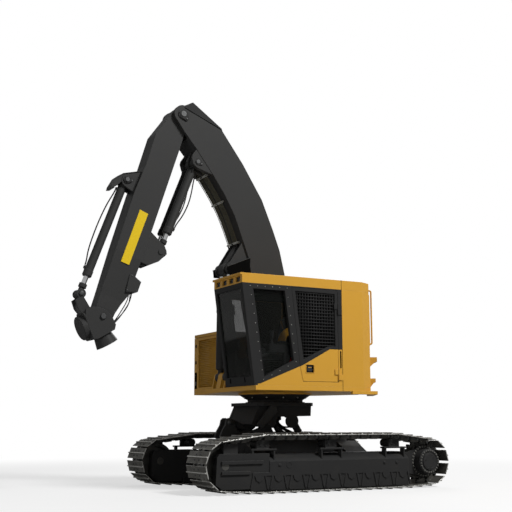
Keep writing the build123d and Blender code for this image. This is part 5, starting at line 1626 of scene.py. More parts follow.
    def build_latch(self) -> None:
        """Sets the paddle latch in the door's recess, whose back is a black slab of painted shade."""
        yard, at = self.yard, self.yard.at
        form = Form(Finish.YELLOW, Finish.RECESS, Finish.PLASTIC, Finish.PIN)
        low, high = self.latch
        # Painted shade: the recess's back is near-black.
        form.block(at(low[0], 1.466, low[1]), at(high[0], 1.47, high[1]), 0.0, Finish.RECESS)
        for a, b in border(low, high, 0.012):
            form.block(at(a[0], 1.486, a[1]), at(b[0], 1.496, b[1]), 0.003)
        form.block(at(0.16, 1.47, 1.892), at(0.25, 1.488, 1.958), 0.008, Finish.PLASTIC)
        form.block(at(0.15, 1.47, 1.965), at(0.245, 1.484, 1.99), 0.006, Finish.PLASTIC)
        form.stud(at(0.142, 1.47, 1.925), ACROSS, 0.009, 0.01, Finish.PIN)
        form.object("door_latch", "door", yard.shop, "paint_black")

    def build(self) -> None:
        """Dresses the cab."""
        yard = self.yard
        yard.coat("cab_shell", Finish.CAB_YELLOW)
        yard.coat("cab_roof side_door", Finish.YELLOW)
        yard.coat("side_window_frame front_window_frame door_guard door_mesh", Finish.FRAME_BLACK)
        yard.coat("front_glass", Finish.GLASS)
        yard.coat("side_glass", Finish.SIDE_GLASS)
        yard.coat("work_lights", Finish.PLASTIC)
        self.build_mesh()
        self.build_screws()
        self.build_seals()
        self.build_slots()
        self.build_lamps()
        self.build_latch()


@dataclass
class CabInside:
    """The operator's place: chair, consoles, screen, belt and extinguisher."""

    yard: Yard
    chair: Flat = (0.56, 0.992)  # x from the swing axis, y
    floor: float = 1.72
    bellows: int = 6
    grip: Line = (  # height, radius
        (0.0, 0.0), (0.0, 0.028), (0.03, 0.031), (0.07, 0.028), (0.12, 0.032), (0.135, 0.03), (0.135, 0.0),
    )
    loop_middle: Flat = (0.34, 2.35)
    loop_radii: tuple[Flat, Flat] = ((0.285, 0.285), (0.16, 0.185))  # outer and inner, along and up
    extinguisher: Flat = (0.47, 1.34)
    bottle: Line = (
        (0.0, 0.0), (0.0, 0.05), (0.01, 0.056), (0.27, 0.056), (0.31, 0.04), (0.325, 0.02),
        (0.345, 0.02), (0.345, 0.0),
    )

    def cushion(
        self, name: str, centre: Point, size: Point, lean: float, crown: float
    ) -> bpy.types.Object:
        """Makes a crowned cushion whose corners pull in.

        Args:
            name: The piece's name.
            centre: Its middle.
            size: Its length, width and thickness.
            lean: How far it leans back, in radians.
            crown: How much thicker its middle is than its edge, as a share.

        Returns:
            The finished cushion.
        """
        form = Form(Finish.CLOTH)
        made = bmesh.ops.create_cube(form.bm, size=2.0)
        edges = list({edge for vert in made["verts"] for edge in vert.link_edges})
        bmesh.ops.subdivide_edges(form.bm, edges=edges, cuts=11, use_grid_fill=True)
        half = Vector(size) / 2
        turn = Matrix.Rotation(-lean, 3, "Y")
        for vert in form.bm.verts:
            u, v, w = vert.co
            pull = 1.0 - 0.1 * abs(w) ** 2 - 0.05 * (u * u * v * v)
            swell = (1.0 - crown) + crown * (1.0 - u ** 4) * (1.0 - v ** 4)
            seam = 0.06 * math.exp(-((abs(v) - 0.62) / 0.05) ** 2)
            seam += 0.05 * math.exp(-((u - 0.1) / 0.05) ** 2)
            place = Vector((u * pull * half.x, v * pull * half.y, w * (swell - seam) * half.z))
            vert.co = Vector(centre) + turn @ place
        bmesh.ops.smooth_vert(
            form.bm, verts=form.bm.verts[:], factor=0.4, use_axis_x=True, use_axis_y=True, use_axis_z=True
        )
        for face in form.bm.faces:
            face.smooth = True
        piece = form.object(name, "house", self.yard.shop, "chair_fabric")
        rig.padded(piece, 0.8)
        return piece

    def build_cushions(self) -> None:
        """Makes the chair's three cushions."""
        x, y = self.chair
        at, floor = self.yard.at, self.floor
        pad = self.cushion("chair_cushion", at(x + 0.01, y, floor + 0.415), (0.5, 0.48, 0.13), 0.05, 0.3)
        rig.replaces(pad, "operator_chair")
        self.cushion("chair_back", at(x - 0.235, y, floor + 0.8), (0.11, 0.46, 0.66), 0.16, 0.15)
        self.cushion("chair_headrest", at(x - 0.3, y, floor + 1.235), (0.085, 0.26, 0.19), 0.12, 0.2)

    def build_frame(self) -> None:
        """Builds the chair's base, arms, grips and belt, and the grab loop behind it."""
        x, y = self.chair
        at, floor = self.yard.at, self.floor
        form = Form(Finish.PLASTIC, Finish.PIN, Finish.BELT, Finish.RECESS, Finish.YELLOW)
        form.block(at(x - 0.2, y - 0.19, floor), at(x + 0.18, y + 0.19, floor + 0.09), 0.012)
        for i in range(self.bellows):
            low = floor + 0.09 + i * 0.042
            start = at(x - 0.15 + 0.006 * (i % 2), y - 0.15, low)
            form.block(start, at(x + 0.13, y + 0.15, low + 0.036), 0.01, Finish.RECESS)
        form.block(at(x - 0.23, y - 0.23, floor + 0.335), at(x + 0.23, y + 0.23, floor + 0.365), 0.008)
        for side in (-1, 1):
            arm = y + side * 0.275
            rest = at(x - 0.21, arm - 0.035, floor + 0.62)
            form.block(rest, at(x + 0.1, arm + 0.035, floor + 0.665), 0.012)
            form.rod(at(x - 0.2, arm, floor + 0.36), at(x - 0.17, arm, floor + 0.63), 0.016, 12, Finish.PIN)
            grip = at(x + 0.25, y + side * 0.325, floor + 0.6)
            form.turned(grip, UP, [(0.0, 0.045), (0.012, 0.04), (0.03, 0.024), (0.06, 0.018)], 16)
            form.turned(grip + UP * 0.088, UP, self.grip, 16)
            pad = grip + Vector((-0.28, -0.03, 0.0))
            form.block(pad, grip + Vector((-0.1, 0.03, 0.01)), 0.003, Finish.RECESS)
        belt = at(x - 0.21, y - 0.16, floor + 1.04), at(x - 0.235, y + 0.21, floor + 0.42)
        form.rod(*belt, 0.02, 8, Finish.BELT)
        self.build_grab_loop(form)
        form.object("chair_frame", "house", self.yard.shop, "console_plastic")

    def build_grab_loop(self, form: Form) -> None:
        """Bends the arched yellow grab loop beside the chair.

        Args:
            form: The form of the chair's frame.
        """
        x, z = self.loop_middle
        arcs = []
        for wide, tall in self.loop_radii:
            turns = [math.radians(8.0 + i * 11.0) for i in range(9)]
            arcs.append([(x + wide * math.cos(turn), z + tall * math.sin(turn)) for turn in turns])
        outer, inner = arcs
        for i in range(8):
            ring = (outer[i], outer[i + 1], inner[i + 1], inner[i])
            form.slab(self.yard.outline(ring, 1.18), (0.0, 0.04, 0.0), 0.0, Finish.YELLOW)

    def build_screen(self) -> None:
        """Stands the screen on its post and adds the travel pedals."""
        yard, at = self.yard, self.yard.at
        form = Form(Finish.PLASTIC, Finish.RECESS)
        form.block(at(1.14, 0.6, 2.245), at(1.17, 0.84, 2.425), 0.008)
        form.block(at(1.136, 0.615, 2.26), at(1.141, 0.825, 2.41), 0.0, Finish.RECESS)
        form.rod(at(1.16, 0.72, 1.73), at(1.16, 0.72, 2.25), 0.018, 12)
        plate = ((-0.02, -0.045, 0.03), (0.09, -0.045, 0.14), (0.09, 0.045, 0.14), (-0.02, 0.045, 0.03))
        for side in (-1, 1):
            foot = at(1.06, self.chair[1] + side * 0.075, self.floor)
            form.slab([foot + Vector(corner) for corner in plate], (0.006, 0.0, -0.01))
            form.rod(foot + Vector((0.03, 0, 0.06)), foot + Vector((0.01, 0, 0.42)), 0.01, 10)
        form.object("cab_screen", "house", yard.shop, "console_plastic")

    def build_extinguisher(self) -> None:
        """Stands the fire extinguisher by the door."""
        form = Form(Finish.RED, Finish.RECESS)
        foot = self.yard.at(*self.extinguisher, self.floor + 0.06)
        form.turned(foot, UP, self.bottle, 24)
        head = foot + Vector((-0.05, -0.012, 0.345))
        form.block(head, foot + Vector((0.03, 0.012, 0.372)), 0.005, Finish.RECESS)
        nozzle = foot + Vector((0.05, 0.0, 0.3))
        form.rod(foot + Vector((0.0, 0.0, 0.36)), nozzle, 0.01, 10, Finish.RECESS)
        form.object("cab_extinguisher", "house", self.yard.shop, "console_plastic")

    def build(self) -> None:
        """Builds everything in the cab."""
        self.yard.coat("control_consoles", Finish.PLASTIC)
        self.yard.coat("operator_chair", Finish.CLOTH)
        self.build_cushions()
        self.build_frame()
        self.build_screen()
        self.build_extinguisher()


# ---------------------------------------- house
@dataclass
class House:
    """Deck, rear body, engine side, steps and rail."""

    yard: Yard
    front: float = 0.87
    grille_low: Flat = (-1.3, 1.72)  # y, z
    grille_high: Flat = (-0.52, 2.58)
    grille_pitch: float = 0.032
    grille_wire: float = 0.0065
    side: float = 1.49
    doors: Line = ((-0.8, -0.05), (0.05, 0.8))
    door_low: float = 1.72
    door_high: float = 2.6
    door_louvres: int = 11
    tail_louvres: int = 7
    corner: Flat = (-1.072, 1.375)  # x from the swing axis, y
    haunch: Flat = (-1.472, 0.69)
    tail: Flat = (-1.75, 0.0)
    treads: Line = ((2.181, 0.13), (1.82, 0.1))  # z, depth
    lip_low: float = 1.541
    lip_deep: float = 0.058
    lip_out: float = 0.11

    def build_grille(self) -> None:
        """Weaves the engine's front screen in its frame."""
        yard, at = self.yard, self.yard.at
        form = Form(Finish.YELLOW)
        (low_y, low_z), (high_y, high_z) = self.grille_low, self.grille_high
        depth = self.front - 0.016
        for i in range(1, int((high_y - low_y) / self.grille_pitch) + 1):
            y = low_y + i * self.grille_pitch
            form.rod(at(depth, y, low_z), at(depth, y, high_z), self.grille_wire, 6)
        for i in range(1, int((high_z - low_z) / self.grille_pitch) + 1):
            z = low_z + i * self.grille_pitch
            form.rod(at(depth + 0.005, low_y, z), at(depth + 0.005, high_y, z), self.grille_wire, 6)
        for a, b in border(self.grille_low, self.grille_high, 0.03):
            form.block(at(self.front - 0.004, *a), at(self.front + 0.006, *b), 0.003)
        piece = form.object("engine_front_screen", "house", yard.shop, "paint_yellow")
        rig.replaces(piece, "engine_grille")

    def build_front_panel(self, form: Form) -> None:
        """Adds the recess, its back a black slab of painted shade, and the sockets beside the engine's screen.

        Args:
            form: The form of the house panels.
        """
        at, front = self.yard.at, self.front
        # Painted shade: a near-black block stands for the recess.
        form.block(at(front - 0.004, -1.462, 1.7), at(front + 0.004, -1.372, 2.0), 0.003, Finish.RECESS)
        form.block(at(front + 0.003, -1.45, 1.76), at(front + 0.007, -1.385, 1.83), 0.002, Finish.PIN)
        for z in (2.15, 2.45):
            high = at(front + 0.01, -1.395, z + 0.06)
            form.block(at(front - 0.004, -1.44, z), high, 0.006, Finish.PLASTIC)

    def build_doors(self, form: Form) -> None:
        """Draws the two service doors on the engine's side, with louvres, painted shade under each louvre, and
        latches.

        Args:
            form: The form of the house panels.
        """
        at, side = self.yard.at, self.side
        bottom, top, seam = self.door_low, self.door_high, 0.006
        louvre = ((0.002, 0.0), (-0.014, 0.0), (0.002, 0.04))
        latch_profile = [(0.0, 0.034), (0.008, 0.032), (0.008, 0.018), (0.002, 0.016), (0.002, 0.0)]
        for start, end in self.doors:
            for a, b in (
                ((start, bottom), (end, bottom + seam)), ((start, top - seam), (end, top)),
                ((start, bottom), (start + seam, top)), ((end - seam, bottom), (end, top)),
            ):
                form.block(at(a[0], -side - 0.0015, a[1]), at(b[0], -side + 0.002, b[1]), 0.0, Finish.RECESS)
            low, high = start + 0.12, end - 0.12
            for i in range(self.door_louvres):
                z = 1.84 + i * 0.062
                form.slab([at(low, -side + out, z + up) for out, up in louvre], (high - low, 0.0, 0.0), 0.001)
                # A near-black strip under each louvre: painted shade of its opening.
                shade = at(high, -side + 0.002, z)
                form.block(at(low, -side - 0.002, z - 0.01), shade, 0.0, Finish.RECESS)
            latch = at(end - 0.075 if start < 0 else start + 0.075, -side, 2.1)
            form.turned(latch, -ACROSS, latch_profile, 20, Finish.PLASTIC)

    def build_tail(self, form: Form) -> None:
        """Presses louvres into the two slanting faces of the tail.

        Args:
            form: The form of the house panels.
        """
        at = self.yard.at
        x, y = self.haunch
        tail = at(*self.tail, 0.0)
        for a, b in ((at(x, -y, 0.0), tail), (tail, at(x, y, 0.0))):
            out = outward(a, b)
            for i in range(self.tail_louvres):
                foot = a.lerp(b, 0.22) + UP * (1.8 + i * 0.06)
                far = a.lerp(b, 0.78) + UP * (1.8 + i * 0.06)
                form.slab([foot, foot + out * 0.014, foot + UP * 0.038], far - foot, 0.001)

    def build_caps(self, form: Form) -> None:
        """Adds the filler caps, the exhaust's end and the lid's hinges.

        Args:
            form: The form of the house panels.
        """
        at = self.yard.at
        for y, radius in ((-0.2, 0.07), (0.2, 0.05)):
            cap = [
                (0.0, radius + 0.015), (0.02, radius + 0.012), (0.02, radius), (0.055, radius - 0.004),
                (0.062, radius - 0.014), (0.062, 0.0),
            ]
            form.turned(at(-0.69, y, 2.478), UP, cap, 28, Finish.PLASTIC)
        exhaust = [
            (0.0, 0.085), (0.012, 0.08), (0.012, 0.062), (0.16, 0.062), (0.17, 0.055), (0.17, 0.048),
            (0.1, 0.046),
        ]
        form.turned(at(-0.3, -0.98, 2.69), UP, exhaust, 28, Finish.PLASTIC)
        for x in (-0.6, 0.6):
            high = at(x + 0.045, -1.49, 2.68)
            form.block(at(x - 0.045, -1.512, 2.6), high, 0.006, Finish.PLASTIC)

    def build_panels(self) -> None:
        """Adds door seams, louvres, latches and caps to the sheet metal."""
        form = Form(Finish.YELLOW, Finish.RECESS, Finish.PIN, Finish.PLASTIC)
        self.build_front_panel(form)
        self.build_doors(form)
        self.build_tail(form)
        self.build_caps(form)
        form.object("house_panels", "house", self.yard.shop, "paint_yellow")

    def build_steps(self) -> None:
        """Puts grip strips on the steps, feet on the rail and a lip on the deck's edge."""
        yard, at = self.yard, self.yard.at
        corner, haunch = at(*self.corner, 0.0), at(*self.haunch, 0.0)
        run, out = (haunch - corner).normalized(), outward(corner, haunch)
        middle = corner.lerp(haunch, 0.4)
        form = Form(Finish.RECESS, Finish.YELLOW)
        for tread, deep in self.treads:
            for i in range(4):
                near = middle + out * (deep * (0.22 + 0.2 * i)) + UP * tread
                form.rod(near - run * 0.165, near + run * 0.165, 0.004, 6)
        foot = [(0.0, 0.032), (0.006, 0.03), (0.006, 0.0)]
        for across in (-0.23, 0.23):
            for z in (2.4, 3.32):
                form.turned(middle + run * across + UP * z, out, foot, 16, Finish.YELLOW)
        form.object("step_grips", "house", yard.shop, "paint_yellow")
        lip = Form(Finish.YELLOW)
        inner = [at(-0.62, 1.44, 0.0), at(-1.01, 1.4, 0.0), haunch]
        outer = [haunch + out * self.lip_out, at(-1.126, 1.5, 0.0), at(-0.62, 1.5, 0.0)]
        lip.slab([spot + UP * self.lip_low for spot in inner + outer], UP * self.lip_deep, 0.004)
        lip.object("deck_lip", "house", yard.shop, "paint_yellow")

    def build(self) -> None:
        """Dresses the house."""
        yard = self.yard
        yard.coat("deck rear_body counterweight engine_housing engine_hood steps handrail", Finish.YELLOW)
        yard.coat("hydraulic_tank", Finish.CHARCOAL)
        yard.coat("engine_grille", Finish.YELLOW)
        yard.coat("engine_block", Finish.IRON)
        yard.coat("deck_pins", Finish.PIN)
        self.build_grille()
        self.build_panels()
        self.build_steps()


# ---------------------------------------- arm
@dataclass(frozen=True)
class Ram:
    """Where a ram stands and how thick and long its barrel is."""

    name: str
    base: Flat
    eye: Flat
    side: float
    radius: float
    gland: float  # from the base pin to the barrel's mouth
    bow: float | None  # how far its hose bows off the barrel, forward or back; None for no hose
    dark: float  # how far round the eye the rod's end is painted

    def on(self, side: int) -> tuple[str, float]:
        """Returns the name and the y of the ram on one side."""
        return f"{self.name}_{'left' if side > 0 else 'right'}", side * self.side


HOIST = Ram("hoist", (1.0, 1.85), (0.97, 3.72), 0.14, 0.088, 1.23, None, 0.3)
CROWD = Ram("crowd", (1.653, 5.514), (2.286, 3.894), 0.104, 0.076, 1.385, -0.075, 0.245)
TILT = Ram("tilt", (2.885, 5.077), (3.613, 3.122), 0.0, 0.072, 1.77, 0.065, 0.192)


@dataclass
class Arm:
    """Boom, stick, wrist and rams, with their tubes, hoses, keepers and plates."""

    yard: Yard
    elbow: Flat = (1.946, 6.321)
    wrist: Flat = (3.27, 2.761)
    boom_half: float = 0.27
    stick_half: float = 0.2
    belly: Line = (
        (0.835, 4.205), (0.985, 4.605), (1.182, 4.952), (1.405, 5.276), (1.59, 5.52),
    )
    clamp_places: Line = ((0.826, 4.19), (1.137, 4.88), (1.439, 5.326))
    lane_pitch: float = 0.035
    # The black sheet below the hoist ears' rim is a painted shadow.
    hoist_shadow_sheet: Line = (
        (0.64, 3.905), (1.091, 3.721), (1.077, 3.6), (0.66, 3.6),
    )
    hoist_rim: Line = (
        (0.64, 3.905), (1.091, 3.721), (1.091, 3.736), (0.64, 3.92),
    )
    # The cap plate is darker grey as painted shade; the strip below it is a black painted shadow of the plate's edge.
    cap: Line = (
        (1.2, 6.15), (1.922, 6.446), (1.912, 6.474), (1.76, 6.558), (1.208, 6.172),
    )
    cap_shadow_strip: Line = (
        (1.197, 6.136), (1.928, 6.434), (1.923, 6.45), (1.201, 6.153),
    )
    crowd_ear: Line = (
        (1.687, 5.727), (1.756, 5.628), (1.769, 5.569), (1.738, 5.46), (1.667, 5.405), (1.372, 5.317),
        (1.35, 5.345), (1.64, 5.735),
    )
    hook: Line = (
        (2.945, 5.168), (3.062, 5.104), (3.146, 4.962), (3.14, 4.914), (3.07, 4.95), (2.985, 5.03),
    )
    guard: Line = (  # its outer edge, then its inner edge back
        (2.64, 5.256), (2.956, 5.18), (3.066, 5.112), (3.152, 4.962), (3.166, 4.902), (3.104, 4.912),
        (3.107, 4.924), (3.15, 4.917), (3.14, 4.958), (3.058, 5.102), (2.95, 5.168), (2.64, 5.243),
    )
    label: Line = (
        (2.68, 4.572), (2.532, 4.511), (2.851, 3.625), (2.994, 3.673),
    )
    cover_bolts: Line = (
        (2.79, 3.45), (2.662, 3.35), (2.712, 3.212), (2.868, 3.21),
    )

    def build_clamps(self) -> None:
        """Clamps the tubes to the boom's belly."""
        yard, at = self.yard, self.yard.at
        form = Form(Finish.BOLT, Finish.PIN)
        section = ((-0.018, -0.045), (-0.018, 0.016), (0.018, 0.016), (0.018, -0.045))
        for x, z in self.clamp_places:
            share = [abs(x - a) for a, _ in self.belly]
            i = min(share.index(min(share)), len(self.belly) - 2)
            (near_x, near_z), (far_x, far_z) = self.belly[i], self.belly[i + 1]
            run = Vector((far_x - near_x, 0.0, far_z - near_z)).normalized()
            out = Vector((run.z, 0.0, -run.x))
            for middle in (-0.136, 0.074):
                centre = at(x, middle, z)
                corners = [centre + run * a + out * b - ACROSS * 0.088 for a, b in section]
                form.slab(corners, (0.0, 0.176, 0.0), 0.003)
                for across in (0.08, -0.08):
                    form.bolt(centre + out * 0.016 + ACROSS * across, out, 0.009, 0.009, Finish.PIN)
        form.object("boom_tube_clamps", "boom", yard.shop, "paint_charcoal")

    def build_tubes(self) -> None:
        """Lays the steel oil tubes along the boom's belly, with hoses at both ends."""
        yard, at = self.yard, self.yard.at
        lanes = [first + self.lane_pitch * i for first in (-0.206, 0.004) for i in range(5)]
        routes = [[at(x, y, z) for x, z in self.belly] for y in lanes]
        hose("boom_tubes", routes, 0.006, yard.shop[Finish.TUBE], "boom")
        self.build_clamps()
        links = []
        for y in lanes[:2] + lanes[-2:]:
            port = math.copysign(max(abs(y) * 1.3, 0.17), y)
            links.append([
                at(1.59, y, 5.52), at(1.65, y, 5.6), at(1.72, y * 1.2, 5.66),
                at(1.7, y * 1.5, 5.56), at(1.69, y * 1.45, 5.43), at(1.735, port, 5.34),
            ])
        for y in lanes[::2]:
            links.append([
                at(0.835, y, 4.205), at(0.8, y, 4.1), at(0.79, y, 4.0), at(0.8, y * 0.95, 3.9),
                at(0.76, y * 0.9, 3.78), at(0.69, y * 0.9, 3.64),
            ])
        hose("boom_hoses", links, 0.0125, yard.shop[Finish.HOSE], "boom")

    def build_ram(self, ram: Ram, name: str, side: float) -> None:
        """Adds one ram's ports, gland bolts and barrel hose.

        Args:
            ram: The ram's sizes.
            name: What its pieces are called.
            side: Its middle's y.
        """
        yard, at = self.yard, self.yard.at
        body = ram.name + "_barrel"
        start, end = at(ram.base[0], side, ram.base[1]), at(ram.eye[0], side, ram.eye[1])
        run = (end - start).normalized()
        out = Vector((run.z, 0.0, -run.x))
        forward = ram.bow is not None and ram.bow > 0
        out = out if (out.x > 0) == forward else -out
        form = Form(Finish.CHARCOAL, Finish.PIN)
        for i in range(10):
            angle = math.tau * i / 10
            arm = out * math.cos(angle) + ACROSS * math.sin(angle)
            foot = start + run * (ram.gland - 0.004) + arm * (ram.radius - 0.014)
            form.bolt(foot, run, 0.0085, 0.011, Finish.PIN)
        port = [(0.0, 0.03), (0.022, 0.028), (0.022, 0.018), (0.036, 0.018), (0.036, 0.0)]
        for along in (0.185, ram.gland - 0.135):
            foot = start + run * along + out * (ram.radius - 0.006)
            form.turned(foot, out, port, 16)
            nut = foot + out * 0.024
            form.rod(nut - run * 0.018, nut + run * 0.034, 0.014, 6, Finish.PIN, False)
        form.object(name + "_fittings", body, yard.shop, "paint_charcoal")
        if ram.bow is None:
            return
        reach, far = ram.radius + 0.02, abs(ram.bow)
        top, low = 0.21, ram.gland - 0.165
        knots = (
            (top, 0.0), (top + 0.05, 0.0), (top + 0.3, 0.7), (top + (low - top) * 0.5, 1.0),
            (low - 0.26, 0.75), (low - 0.06, 0.0), (low, 0.0),
        )
        route = [start + run * along + out * (reach + far * share) for along, share in knots]
        hose(name + "_hose", [route], 0.0115, yard.shop[Finish.HOSE], body)

    def keeper(
        self, form: Form, place: Flat, y: float, radius: float, toward: float
    ) -> None:
        """Adds a pin's keeper plate with its bolt.

        Args:
            form: The form that it goes into.
            place: The pin's x and z.
            y: The face that it lies on; it stands out on that side.
            radius: The pin head's radius.
            toward: The angle that its tail points, in radians.
        """
        side = ACROSS if y > 0 else -ACROSS
        centre = self.yard.at(place[0], y, place[1])
        along = Vector((math.cos(toward), 0.0, math.sin(toward)))
        cross = Vector((-along.z, 0.0, along.x))
        edge = (
            (-0.75, 0.62), (0.2, 0.95), (1.45, 0.36), (1.62, 0.0), (1.45, -0.36), (0.2, -0.95),
            (-0.75, -0.62),
        )
        corners = [centre + along * (radius * a) + cross * (radius * b) for a, b in edge]
        form.slab(corners, side * 0.012, 0.003, Finish.UNDER_GREY)
        form.rod(centre, centre + side * 0.022, radius * 0.58, 28, Finish.PIN)
        form.bolt(centre + along * radius * 1.22 + side * 0.012, side, 0.013, 0.012, Finish.PIN)

    def build_boom_plates(self) -> None:
        """Adds the boom's pin keepers, its cap, darker grey as painted shade with a black strip of painted shadow
        along its edge, and the covers on its ears, the hoist ears' one a black sheet of painted shadow under its rim.
        """
        yard = self.yard
        form = Form(Finish.CHARCOAL, Finish.PIN, Finish.RECESS, Finish.UNDER_GREY)
        for side in (-1, 1):
            self.keeper(form, self.elbow, side * (self.boom_half + 0.016), 0.085, -2.2)
            self.keeper(form, CROWD.base, side * 0.262, 0.06, -2.6)
            for line, y, thick, bevel, finish in (
                # black sheet of painted shadow under the charcoal rim
                (self.hoist_shadow_sheet, 0.268, 0.014, 0.002, Finish.RECESS),
                (self.hoist_rim, 0.262, 0.034, 0.002, Finish.CHARCOAL),
                # cap in painted shade, then its strip of painted shadow
                (self.cap, 0.2295, 0.0417, 0.0, Finish.UNDER_GREY),
                (self.cap_shadow_strip, 0.262, 0.0105, 0.0, Finish.RECESS),
                (self.crowd_ear, 0.206, 0.056, 0.003, Finish.CHARCOAL),
            ):
                form.slab(yard.outline(line, side * y), (0.0, side * thick, 0.0), bevel, finish)
        form.object("boom_keepers", "boom", yard.shop, "paint_charcoal")

    def build_stick_plates(self) -> None:
        """Adds the stick's pin keepers, the tilt lug's guard, the cover's bolts and the label."""
        yard, at, outline = self.yard, self.yard.at, self.yard.outline
        form = Form(Finish.CHARCOAL, Finish.PIN, Finish.LABEL, Finish.UNDER_GREY)
        for side in (-1, 1):
            self.keeper(form, TILT.base, side * 0.13, 0.062, 3.3)
        for low in (-0.114, 0.08):
            form.slab(outline(self.hook, low), (0.0, 0.034, 0.0), 0.002)
        form.slab(outline(self.guard, -0.128), (0.0, 0.256, 0.0), 0.002)
        label = outline(self.label, self.stick_half - 0.001)
        form.slab(label, (0.0, 0.003, 0.0), 0.0, Finish.LABEL)
        for x, z in self.cover_bolts:
            for side in (1, -1):
                form.bolt(at(x, side * 0.198, z), ACROSS * side, 0.01, 0.009, Finish.PIN)
        form.object("stick_plates", "stick", yard.shop, "paint_charcoal")

    def build_wrist_bolts(self) -> None:
        """Adds the heads of the wrist's pins."""
        yard, at = self.yard, self.yard.at
        form = Form(Finish.CHARCOAL, Finish.PIN)
        nut = [(0.0, 0.052), (0.01, 0.05), (0.014, 0.044), (0.014, 0.0)]
        button = [(0.0, 0.038), (0.01, 0.036), (0.012, 0.026), (0.012, 0.0)]
        for side in (-1, 1):
            face = at(self.wrist[0], side * 0.212, self.wrist[1])
            form.turned(face, ACROSS * side, nut, 6, Finish.PIN, False)
            tip = at(TILT.eye[0], side * 0.13, TILT.eye[1])
            form.turned(tip, ACROSS * side, button, 24, Finish.PIN)
        form.object("wrist_bolts", "wrist", yard.shop, "paint_charcoal")

    def build_wrist_hoses(self) -> None:
        """Hangs the hoses that cross from the stick to the wrist."""
        yard, at = self.yard, self.yard.at
        routes = []
        for y, spread in ((-0.06, 0.0), (0.012, 0.034), (0.074, 0.008)):
            routes.append([
                at(2.745, y, 3.205), at(2.752, y, 3.13), at(2.8 - spread, y, 3.01),
                at(2.88 - spread, y, 2.88), at(2.955, y * 0.95, 2.76), at(3.045, y * 0.9, 2.66),
                at(3.11, y * 0.9, 2.615),
            ])
        line = hose("wrist_hoses", routes, 0.0085, yard.shop[Finish.HOSE], None)
        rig.blend(line, "stick", "wrist", at(2.76, 0.0, 3.12), at(3.06, 0.0, 2.65))

    def build(self) -> None:
        """Dresses the arm."""
        yard = self.yard
        yard.coat(
            "boom stick wrist_bracket wrist_drum wrist_skirt hoist_barrels crowd_barrels tilt_barrels",
            Finish.CHARCOAL,
        )
        for ram in (HOIST, CROWD, TILT):
            x, _, z = yard.at(ram.eye[0], 0.0, ram.eye[1])
            yard.coat_part(
                ram.name + "_rods", Finish.CHROME, Finish.CHARCOAL,
                lambda spot: math.hypot(spot.x - x, spot.z - z) < ram.dark,
            )
        yard.coat("boom_pins stick_pins wrist_pins", Finish.CHARCOAL)
        self.build_tubes()
        for side in (-1, 1):
            for ram in (CROWD, HOIST):
                self.build_ram(ram, *ram.on(side))
        self.build_ram(TILT, "tilt_ram", 0.0)
        self.build_boom_plates()
        self.build_stick_plates()
        self.build_wrist_bolts()
        self.build_wrist_hoses()


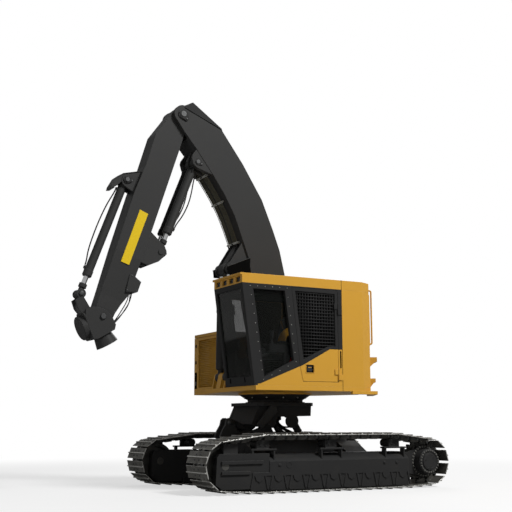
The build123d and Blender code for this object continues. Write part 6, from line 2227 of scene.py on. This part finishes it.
# ---------------------------------------- studio
@dataclass
class Studio:
    """Floor, background, lamps and the camera."""

    eye: tuple[float, float, float] = (7.803, 14.624, 1.059)
    yaw: float = math.radians(-118.728)
    pitch: float = math.radians(10.037)
    roll: float = math.radians(-0.125)
    lens: float = 66.79
    floor_white: float = 0.86
    floor_bounce: float = 0.4
    sky: float = 0.14
    mirrored_sky: float = 0.4

    def build_floor(self) -> None:
        """Lays a pale floor that keeps the shadow and fades to white."""
        disc = bmesh.new()
        bmesh.ops.create_circle(disc, cap_ends=True, segments=96, radius=60.0)
        mesh = bpy.data.meshes.new("floor")
        disc.to_mesh(mesh)
        disc.free()
        bench = Bench("studio_floor")
        x, y, _ = bench.axes()
        reach = (x * x + y * y) ** 0.5
        far = reach.eased(7.0, 16.0)
        lit = bench.node("ShaderNodeLightPath", output="Is Camera Ray")
        dim, white = (self.floor_bounce,) * 3, (self.floor_white,) * 3
        bench.feed("Base Color", bench.tint(lit, dim, white))
        bench.feed("Roughness", 0.9)
        bench.shader.inputs["Specular IOR Level"].default_value = 0.0
        glow = bench.node("ShaderNodeEmission", feeds={"Color": (1.0, 1.0, 1.0, 1.0), "Strength": 1.0})
        share = (lit * (far * 0.4 + 0.6)).limited()
        matt = Signal(bench.tree, bench.shader.outputs[0])
        mix = bench.node("ShaderNodeMixShader", feeds={0: share, 1: matt, 2: glow})
        bench.tree.links.new(mix.socket, bench.output.inputs["Surface"])
        mesh.materials.append(bench.material)
        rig.stage(placed("studio_floor", mesh))

    def build_world(self) -> None:
        """Makes the background white to the camera and in reflections, and softer as light."""
        world = bpy.data.worlds.new("studio")
        bpy.context.scene.world = world
        world.use_nodes = True
        tree = world.node_tree
        tree.nodes.clear()
        path = tree.nodes.new("ShaderNodeLightPath")
        seen = Signal(tree, path.outputs["Is Camera Ray"])
        seen = seen.math("MAXIMUM", seen, Signal(tree, path.outputs["Is Transmission Ray"]))
        mirror = Signal(tree, path.outputs["Is Glossy Ray"])
        strength = self.sky + seen * (1.0 - self.sky) + mirror * (self.mirrored_sky - self.sky)
        shade = tree.nodes.new("ShaderNodeBackground")
        shade.inputs["Color"].default_value = (1.0, 1.0, 1.0, 1.0)
        tree.links.new(strength.socket, shade.inputs["Strength"])
        end = tree.nodes.new("ShaderNodeOutputWorld")
        tree.links.new(shade.outputs[0], end.inputs["Surface"])

    def lamp(self, name: str, place: Point, aim: Point, size: float, power: float) -> None:
        """Hangs one soft area lamp.

        Args:
            name: Its name.
            place: Where it hangs.
            aim: What it points at.
            size: Its width.
            power: Its power in watts.
        """
        data = bpy.data.lights.new(name, "AREA")
        data.shape = "DISK"
        data.size = size
        data.energy = power
        lamp = placed(name, data)
        lamp.location = place
        lamp.rotation_euler = (Vector(aim) - Vector(place)).to_track_quat("-Z", "Y").to_euler()

    def build_camera(self) -> None:
        """Sets the camera."""
        level, rise = math.cos(self.pitch), math.sin(self.pitch)
        forward = Vector((level * math.cos(self.yaw), level * math.sin(self.yaw), rise))
        right = forward.cross(UP).normalized()
        up = right.cross(forward)
        upright, tip = math.cos(self.roll), math.sin(self.roll)
        right, up = right * upright + up * tip, up * upright - right * tip
        data = bpy.data.cameras.new("view")
        data.lens = self.lens
        data.sensor_width = 36.0
        data.clip_end = 200.0
        camera = placed("view", data)
        turn = Matrix((right, up, -forward)).transposed().to_4x4()
        camera.matrix_world = Matrix.Translation(Vector(self.eye)) @ turn
        bpy.context.scene.camera = camera

    def build(self) -> None:
        """Builds the studio."""
        bpy.context.scene.view_settings.view_transform = "Standard"
        self.build_floor()
        self.build_world()
        self.lamp("key", (-8.6, 20.4, 22.5), (-0.6, 0.0, 2.0), 8.0, 8600.0)
        self.lamp("fill", (12.0, 6.0, 2.0), (-0.5, 0.0, 2.0), 6.0, 190.0)
        self.lamp("back", (-8.0, -9.0, 9.0), (-0.6, 0.0, 2.5), 6.0, 500.0)
        self.build_camera()


def main() -> None:
    """Builds the harvester over its frame and writes both boxes."""
    logging.basicConfig(level=logging.INFO, format="%(message)s")
    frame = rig.load()
    plain = [list(corner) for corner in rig.bounds()]
    swing = next(joint for joint in frame["joints"] if joint["name"] == "swing")
    low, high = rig.box("cab_shell")
    shop = PaintShop((low + Vector((0.055, 0.055, 0.055)), high - Vector((-0.3, 0.055, 0.025))))
    yard = Yard(swing["pos_m"][0], shop, frame["nodes"])
    for assembly in (TrackChain, RunningGear, Pedestal, Cab, CabInside, House, Arm):
        assembly(yard).build()
    Studio().build()
    dressed = [list(corner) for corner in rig.bounds()]
    with open("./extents.json", "w", encoding="utf-8") as out:
        json.dump([plain, dressed], out)


if __name__ == "__main__":
    main()
